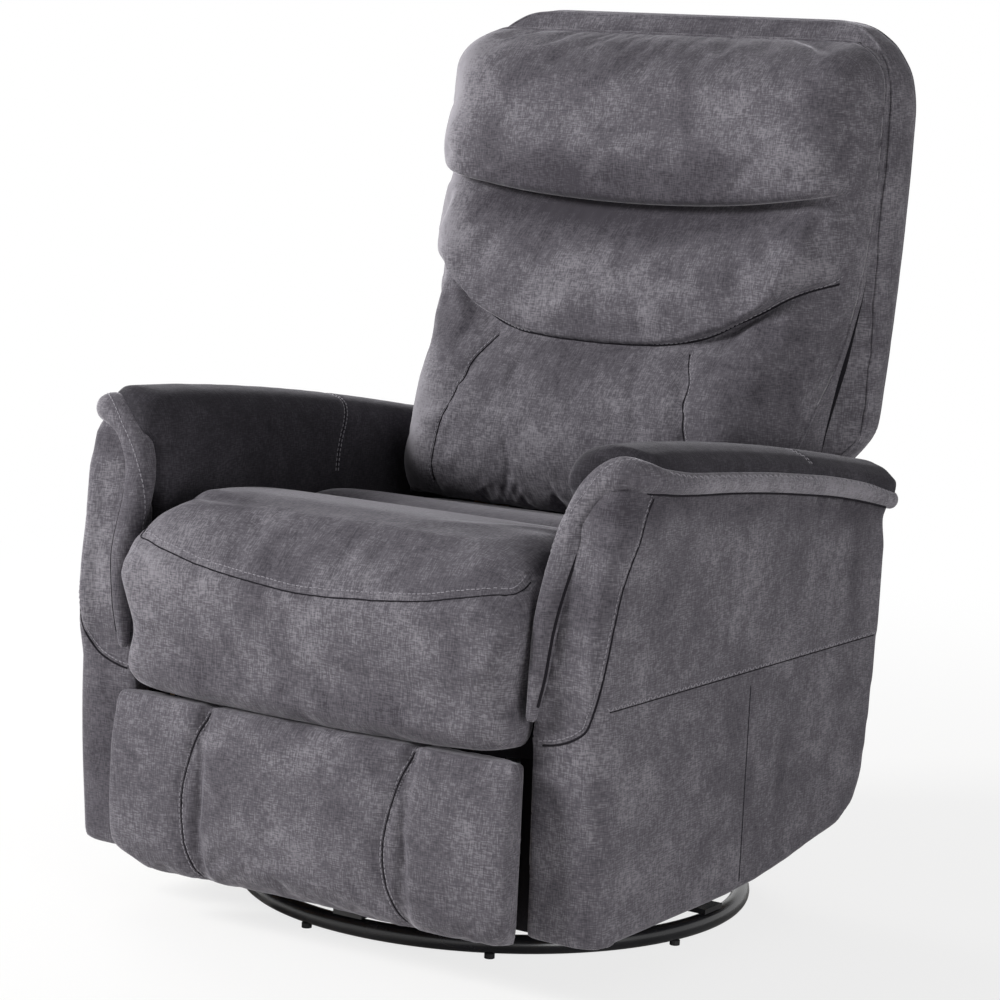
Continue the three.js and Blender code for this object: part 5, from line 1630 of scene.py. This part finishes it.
@dataclass
class Arm:
    """One arm: its pad with the rolled edge, and the cover of its side and front. Lengths are millimetres.

    Attributes:
        side: the side that it stands on.
        swell: how far its side bulges low in front.
        gap_radius: radius of the dark tube of painted shade beside the rolled edge.
        gap_turn: the line's place on the rolled edge, as shares outwards and inwards of its radius.
        facing_tone: how much lighter the facing is painted, or darker below zero.
        low_tone: the same for the foot of the facing.
        lining_edges: how far across the lining beside the footrest starts and ends.
        lining_front: where that lining hangs.
        lining_heights: its lower and upper ends.
        rear_lining: heights of the lining behind, each with its place along y and its inner end across.
        rear_reach: how far across the lining behind ends.
        slopes: how much the pad's inner side and the side's upper edge fall for each millimetre backwards.
        dip_reach: how far from the rolled edge the pad and the side start to dip under it.
        nose: how far the pad's front end is drawn back under the rolled edge.
        tuck: how far the side's upper edge is drawn in under the rolled edge.
        side_bulge: height of the middle of the side's bulge, and its reach.
        drawn: how far the inner side is moved out behind the rolled edge, and in at the facing's foot.
        hollow: how far the facing lies back.
        peak: how far its upper edge rises into the rolled edge.
        inner_limit: how near the middle of the chair the arm's cover may come.
        roll_line: places of the rolled edge's middle line from behind, each with its radius.
    """

    side: Side
    swell: float = 0.0
    gap_radius: float = 1.8
    gap_turn: Range = (0.36, 0.94)
    facing_tone: float = 0.16
    low_tone: float = 0.0
    lining_edges: Range = (243.5, 274.5)
    lining_front: float = -338
    lining_heights: Range = (68, 266)
    rear_lining: Sequence[Place] = (
        (100, 243.0, 299.4), (150, 259.6, 299.4), (210, 268.6, 299.4), (270, 277.6, 299.4),
        (299, 283.4, 299.4), (301, 283.6, 271.4), (470, 283.6, 271.4), (472, 283.6, 278.0),
        (536, 283.6, 278.0),
    )
    rear_reach: float = 319.3
    slopes: Range = (0.11, 0.12)
    dip_reach: Range = (11, 13)
    nose: float = 38
    tuck: float = 6
    side_bulge: Range = (210, 120)
    drawn: Range = (16, 10)
    hollow: float = 8
    peak: float = 9
    inner_limit: float = 273.4
    roll_line: Sequence[tuple[float, float, float, float]] = (
        (368, 274, 497, 11), (370, 200, 513, 12), (371, 120, 527, 12), (371, 45, 537, 12),
        (371, -50, 548, 12), (371, -137, 556, 12), (371, -230, 563, 12.5), (369, -285, 570, 14),
        (361, -314, 577, 17), (343, -326, 578, 19.5), (318, -328, 560, 19), (299, -334, 523, 18),
        (291.5, -346, 485, 17), (289, -371, 422, 14.5), (285, -377, 361, 11), (279.5, -379, 316, 6),
    )

    def seam(self, corners: Iterable[Place], depth: float, width: float, **settings) -> Seam:
        """Returns a seam of the left arm, put onto this one."""
        made = Seam(list(corners), depth, width, **settings)
        return made if self.side is Side.LEFT else made.mirrored()

    def roll(self) -> tuple[Points, Points]:
        """Returns the rolled edge's middle line, along the lip and down beside the seat, and its radii."""
        line = np.array(self.roll_line)
        path = smooth_curve(line[:, :3] * (self.side.value * MM, MM, MM), 5 * MM)
        steps = np.linalg.norm(np.diff(line[:, :3], axis=0), axis=1)
        along = np.concatenate([[0], np.cumsum(steps)])
        radii = np.interp(np.linspace(0, along[-1], len(path)), along, line[:, 3])
        return path, radii * MM

    def gap(self) -> Mesh:
        """Makes the dark tube of painted shade where the roll meets the side and the facing."""
        path, radii = self.roll()
        side = self.side.value
        turned = smooth_step(-280, -322, path[:, 1] / MM)
        outward = np.stack([side * (1 - turned), -turned, np.zeros(len(path))], axis=1)
        outward /= np.linalg.norm(outward, axis=1)[:, None]
        along = np.gradient(path, axis=0)
        inward = np.cross(outward, along) * side
        inward /= np.linalg.norm(inward, axis=1)[:, None]
        low, high = self.gap_turn
        line = path + radii[:, None] * (high * inward + low * outward)
        return tube(line[4:-3], self.gap_radius * MM, 8)

    def linings(self) -> None:
        """Hangs the black cloth beside the footrest, and the one that covers the arm's frame behind."""
        word = self.side.word
        inner, outer = self.lining_edges
        beside = hung_cloth([(z, self.lining_front, inner, outer) for z in self.lining_heights], self.side)
        make_piece(f"arm_lining_{word}", beside, LINING_AND_SHADE, Body.CHASSIS)
        behind = hung_cloth([(z, y, inner, self.rear_reach) for z, y, inner in self.rear_lining], self.side)
        make_piece(f"arm_rear_lining_{word}", behind, LINING_AND_SHADE, Body.CHASSIS)

    def pad(self) -> None:
        """Builds the arm's pad."""
        word = self.side.word
        mesh = even_mesh([f"arm_pad_{word}"], 4.5, 2)
        points = mesh_points(mesh)
        x, y, z = (points / MM).T
        inner = smooth_step(352, 318, np.abs(x)) * smooth_step(500, 540, z + self.slopes[0] * (y + 300))
        inner *= smooth_step(276, 240, y)
        points = relaxed(points, neighbour_pairs(mesh), 40, 0.5 * inner[:, None])
        nose = smooth_step(-268, -298, y) * smooth_step(576, 562, z) * smooth_step(312, 326, np.abs(x))
        points[:, 1] += self.nose * nose * MM
        set_points(mesh, points)
        across = [(376, 62, 566), (352, 64, 578), (324, 66, 585), (298, 60, 570)]
        across += [(278, 40, 546), (273, 26, 520), (273, 20, 480)]
        seams = [self.seam(across, 1.6, 6, fold=0.8, rows=(-2.8, 2.8), pucker=0.3)]
        tuck_under(mesh, *self.roll(), self.dip_reach[0] * MM)
        mesh = with_modifier(mesh, "SUBSURF", levels=1)
        finish_cover(
            f"arm_pad_cover_{word}", mesh, Body.CHASSIS, [f"arm_pad_{word}"], seams, finish=SHADED_ARM_CLOTH
        )

    def rolled_edge(self) -> None:
        """Builds the rolled edge of the pad, with the dark tube of painted shade beside it."""
        word = self.side.word
        path, radii = self.roll()
        lip = [(378, -285, 582), (380, -240, 573), (380, -150, 566), (380, -60, 558)]
        lip += [(380, 30, 549), (380, 120, 538), (380, 200, 524), (377, 268, 509)]
        row = [(366, -318, 596), (346, -332, 590), (322, -337, 568), (298, -343, 533)]
        row += [(282, -350, 484), (279, -362, 420), (278, -372, 356)]
        seams = [
            self.seam(lip, 0.5, 4, fold=0.0, rows=(0,), stitch=Stitch.ZIGZAG, pucker=0.2),
            self.seam(row, 0.8, 4, fold=0.0, rows=(0,), pucker=0.6),
        ]
        out = self.side.value
        # Painted highlight along the lip, and painted shade down the roll beside the seat.
        spots = [NapAndLightSpot((out * 380, y, 545 - 0.07 * y), (60, 150, 60), 0.26) for y in (-140, 60, 240)]
        spots.append(NapAndLightSpot((out * 288, -360, 430), (40, 60, 100), -0.16))
        finish_cover(f"arm_roll_{word}", tube(path, radii, 28), Body.CHASSIS, [], seams, spots=spots)
        make_piece(f"arm_roll_{word}_folds", self.gap(), SEAM_SHADE, Body.CHASSIS)

    def body(self) -> None:
        """Builds the cover of the arm's side and front."""
        word = self.side.word
        mesh = even_mesh([f"side_panel_{word}", f"arm_facing_{word}"], 5, 3)
        points = mesh_points(mesh)
        x, y, z = (points / MM).T
        tuck = self.tuck * smooth_step(505, 548, z + self.slopes[1] * (y + 300))
        tuck *= smooth_step(340, 352, np.abs(x))
        swell = bulge(z, self.swell, *self.side_bulge)
        swell *= smooth_step(-250, -360, y) * smooth_step(330, 355, np.abs(x))
        points[:, 0] += np.sign(x) * (swell - tuck) * MM
        sunk = smooth_step(-330, -352, y + 0.55 * np.maximum(z - 485, 0)) * smooth_step(350, 330, np.abs(x))
        behind_roll = smooth_step(304, 286, np.abs(x)) * smooth_step(400, 450, z)
        corner = smooth_step(294, 279, np.abs(x)) * smooth_step(-342, -356, y) * smooth_step(325, 300, z)
        outwards, inwards = self.drawn
        points[:, 0] += np.sign(x) * (outwards * behind_roll - inwards * corner) * MM
        points[:, 0] = np.sign(x) * np.maximum(np.abs(points[:, 0]), self.inner_limit * MM)
        points[:, 1] += self.hollow * sunk * smooth_step(286, 320, z) * MM
        peak = smooth_step(526, 545, z) * smooth_step(-282, -300, y) * smooth_step(308, 320, np.abs(x))
        points[:, 2] += self.peak * peak * MM
        set_points(mesh, points)
        tuck_under(mesh, *self.roll(), self.dip_reach[1] * MM)
        facing = [(362, -292, 556), (362, -312, 530), (362, -334, 485), (361, -350, 430), (360, -362, 380)]
        facing += [(357, -370, 345), (345, -373, 315), (325, -374, 297), (300, -373, 286), (277, -368, 282)]
        level = [(361, y, 330) for y in (-360, -250, -150, -50, 50, 150, 277)]
        upright = [(361, -42, z) for z in (320, 240, 160, 76)]
        seams = [
            self.seam(facing, 1.8, 5, fold=1.4, rows=(-5.5,), pucker=0.3),
            self.seam(level, 1.2, 5, fold=0.8, rows=(3.0,), stitch=Stitch.ZIGZAG, pucker=0.2),
            self.seam(upright, 1.2, 4, fold=0.8, stitch=Stitch.NONE, pucker=0.0),
        ]
        out = self.side.value
        # Painted shadow under the rolled edge and at the top of the facing, the facing painted lighter or
        # darker as the arm sets it, and darker patches on the side.
        under = [(out * 366, y, 548 - 0.11 * (y + 300)) for y in (-240, -60, 120, 260)]
        spots = [NapAndLightSpot(middle, (40, 110, 13), -0.34) for middle in under]
        spots += [
            NapAndLightSpot((out * 335, -372, 440), (40, 50, 110), self.facing_tone),
            NapAndLightSpot((out * 330, -362, 190), (70, 60, 110), self.low_tone),
            NapAndLightSpot((out * 330, -350, 545), (40, 50, 14), -0.3),
            NapAndLightSpot((out * 370, 205, 430), (40, 15, 70), -0.3),
            NapAndLightSpot((out * 370, 40, 190), (40, 18, 40), -0.24),
            NapAndLightSpot((out * 370, -230, 420), (40, 60, 60), -0.12),
        ]
        nodes = [f"side_panel_{word}", f"arm_facing_{word}"]
        finish_cover(f"arm_side_cover_{word}", mesh, Body.CHASSIS, nodes, seams, spots=spots)

    def build(self) -> None:
        """Builds the arm."""
        self.pad()
        self.rolled_edge()
        self.linings()
        self.body()


@dataclass
class RearPanel:
    """The padded panel that closes the chassis behind."""

    node: str = "rear_panel"

    def build(self) -> None:
        """Builds the rear panel's cover."""
        mesh = even_mesh([self.node], 4, 4)
        finish_cover("rear_panel_cover", mesh, Body.CHASSIS, [self.node], [])


@dataclass(frozen=True)
class Lamp:
    """A soft square lamp that faces the chair. Lengths are metres.

    Attributes:
        name: the lamp's name.
        place: where it hangs.
        size: the length of its side.
        power: its power in watts.
    """

    name: str
    place: Place
    size: float
    power: float

    def hang(self, aim: Place) -> None:
        """Hangs the lamp, turned towards a place."""
        data = bpy.data.lights.new(self.name, "AREA")
        data.size, data.energy = self.size, self.power
        lamp = bpy.data.objects.new(self.name, data)
        lamp.location = self.place
        lamp.rotation_euler = (Vector(aim) - Vector(self.place)).to_track_quat("-Z", "Y").to_euler()
        bpy.context.scene.collection.objects.link(lamp)


@dataclass
class Studio:
    """The camera, the lamps and the pale floor. Lengths are metres, angles are degrees.

    Attributes:
        azimuth: how far the camera is turned round the chair.
        pitch: how far it looks down.
        roll: how far it leans to the side.
        eye: where it stands.
        lens: its focal length in millimetres.
        shift: how far its picture is moved up, as a share of the width.
        floor_reach: half the width of the floor.
        floor_colour: colour of the floor.
        floor_roughness: how rough the floor is.
        white_shares: how white the floor shows to the camera beside the chair and far from it.
        white_reach: how far from the chair's middle these two lie.
        sky_level: how strong the white round the chair is as light.
        aim: what the lamps face.
        lamps: the lamps.
    """

    azimuth: float = 32.66
    pitch: float = 10.08
    roll: float = 2.63
    eye: Place = (1.9612, -3.0742, 1.0049)
    lens: float = 110.4
    shift: float = 0.1008
    floor_reach: float = 30.0
    white_shares: Range = (0.78, 1.0)
    white_reach: Range = (0.5, 2.6)
    floor_colour: str = "#f2f1ef"
    floor_roughness: float = 0.8
    sky_level: float = 0.2
    aim: Place = (0, 0, 0.5)
    lamps: Sequence[Lamp] = (
        Lamp("key", (-2.7, -2.6, 2.3), 1.2, 172),
        Lamp("fill", (3.4, -1.5, 0.8), 1.6, 54),
        Lamp("rim", (-2.8, 1.2, 1.4), 1.4, 48),
    )

    def camera(self) -> None:
        """Puts the camera where the photo's was."""
        data = bpy.data.cameras.new("photo_camera")
        data.lens, data.sensor_width, data.shift_y = self.lens, 36.0, self.shift
        data.clip_end = 100
        camera = bpy.data.objects.new("photo_camera", data)
        turn = Matrix.Rotation(math.radians(self.azimuth), 4, "Z")
        tilt = Matrix.Rotation(math.radians(90 - self.pitch), 4, "X")
        lean = Matrix.Rotation(math.radians(self.roll), 4, "Z")
        camera.matrix_world = Matrix.Translation(self.eye) @ turn @ tilt @ lean
        bpy.context.scene.collection.objects.link(camera)
        bpy.context.scene.camera = camera

    def floor(self) -> None:
        """Lays the pale floor, which shows white to the camera and keeps the chair's shadow."""
        mesh = bpy.data.meshes.new("floor")
        reach = self.floor_reach
        corners = [(-reach, -reach, 0), (reach, -reach, 0), (reach, reach, 0), (-reach, reach, 0)]
        mesh.from_pydata(corners, [], [(0, 1, 2, 3)])
        floor = bpy.data.objects.new("floor", mesh)
        bpy.context.scene.collection.objects.link(floor)
        material = bpy.data.materials.new("pale_floor")
        material.use_nodes = True
        tree = material.node_tree
        shader = tree.nodes["Principled BSDF"]
        shader.inputs["Base Color"].default_value = linear(self.floor_colour)
        shader.inputs["Roughness"].default_value = self.floor_roughness
        seen = add_node(tree, "LightPath").outputs["Is Camera Ray"]
        place = add_node(tree, "TexCoord").outputs["Object"]
        gone = add_node(tree, "VectorMath", {0: place}, operation="LENGTH").outputs["Value"]
        ends = zip(("From Min", "From Max", "To Min", "To Max"), (*self.white_reach, *self.white_shares))
        sockets = {"Value": gone, **dict(ends)}
        fade = add_node(tree, "MapRange", sockets, interpolation_type="SMOOTHSTEP").outputs[0]
        share = combined(tree, "MULTIPLY", seen, fade)
        white = add_node(tree, "Emission", {"Color": (1, 1, 1, 1), "Strength": 1.0}).outputs[0]
        mixed = add_node(tree, "MixShader", {0: share, 1: shader.outputs[0], 2: white}).outputs[0]
        tree.links.new(mixed, tree.nodes["Material Output"].inputs[0])
        mesh.materials.append(material)

    def sky(self) -> None:
        """Surrounds the chair with white, dimmer as light than as background."""
        world = bpy.data.worlds.new("studio")
        bpy.context.scene.world = world
        world.use_nodes = True
        tree = world.node_tree
        rays = add_node(tree, "LightPath").outputs
        shown = rays["Is Camera Ray"]
        for kind in ("Is Glossy Ray", "Is Transmission Ray"):
            shown = combined(tree, "MAXIMUM", shown, rays[kind])
        level = spread(tree, shown, target=(self.sky_level, 1.0))
        tree.links.new(level, tree.nodes["Background"].inputs["Strength"])
        tree.nodes["Background"].inputs["Color"].default_value = (1, 1, 1, 1)

    def build(self) -> None:
        """Sets the whole studio up."""
        bpy.context.scene.view_settings.view_transform = "Standard"
        self.camera()
        self.floor()
        self.sky()
        for lamp in self.lamps:
            lamp.hang(self.aim)


def main() -> None:
    """Builds the studio and the chair, piece by piece."""
    logging.basicConfig(level=logging.INFO, format="%(message)s")
    Studio().build()
    SwivelBase().dress()
    Mechanism().dress()
    arms = (Arm(Side.LEFT, facing_tone=-0.06), Arm(Side.RIGHT, swell=8.0, low_tone=-0.3))
    for part in (BackCushions(), BackShell(), SeatCushion(), FootrestPad(), *arms, RearPanel()):
        part.build()


if __name__ == "__main__":
    main()
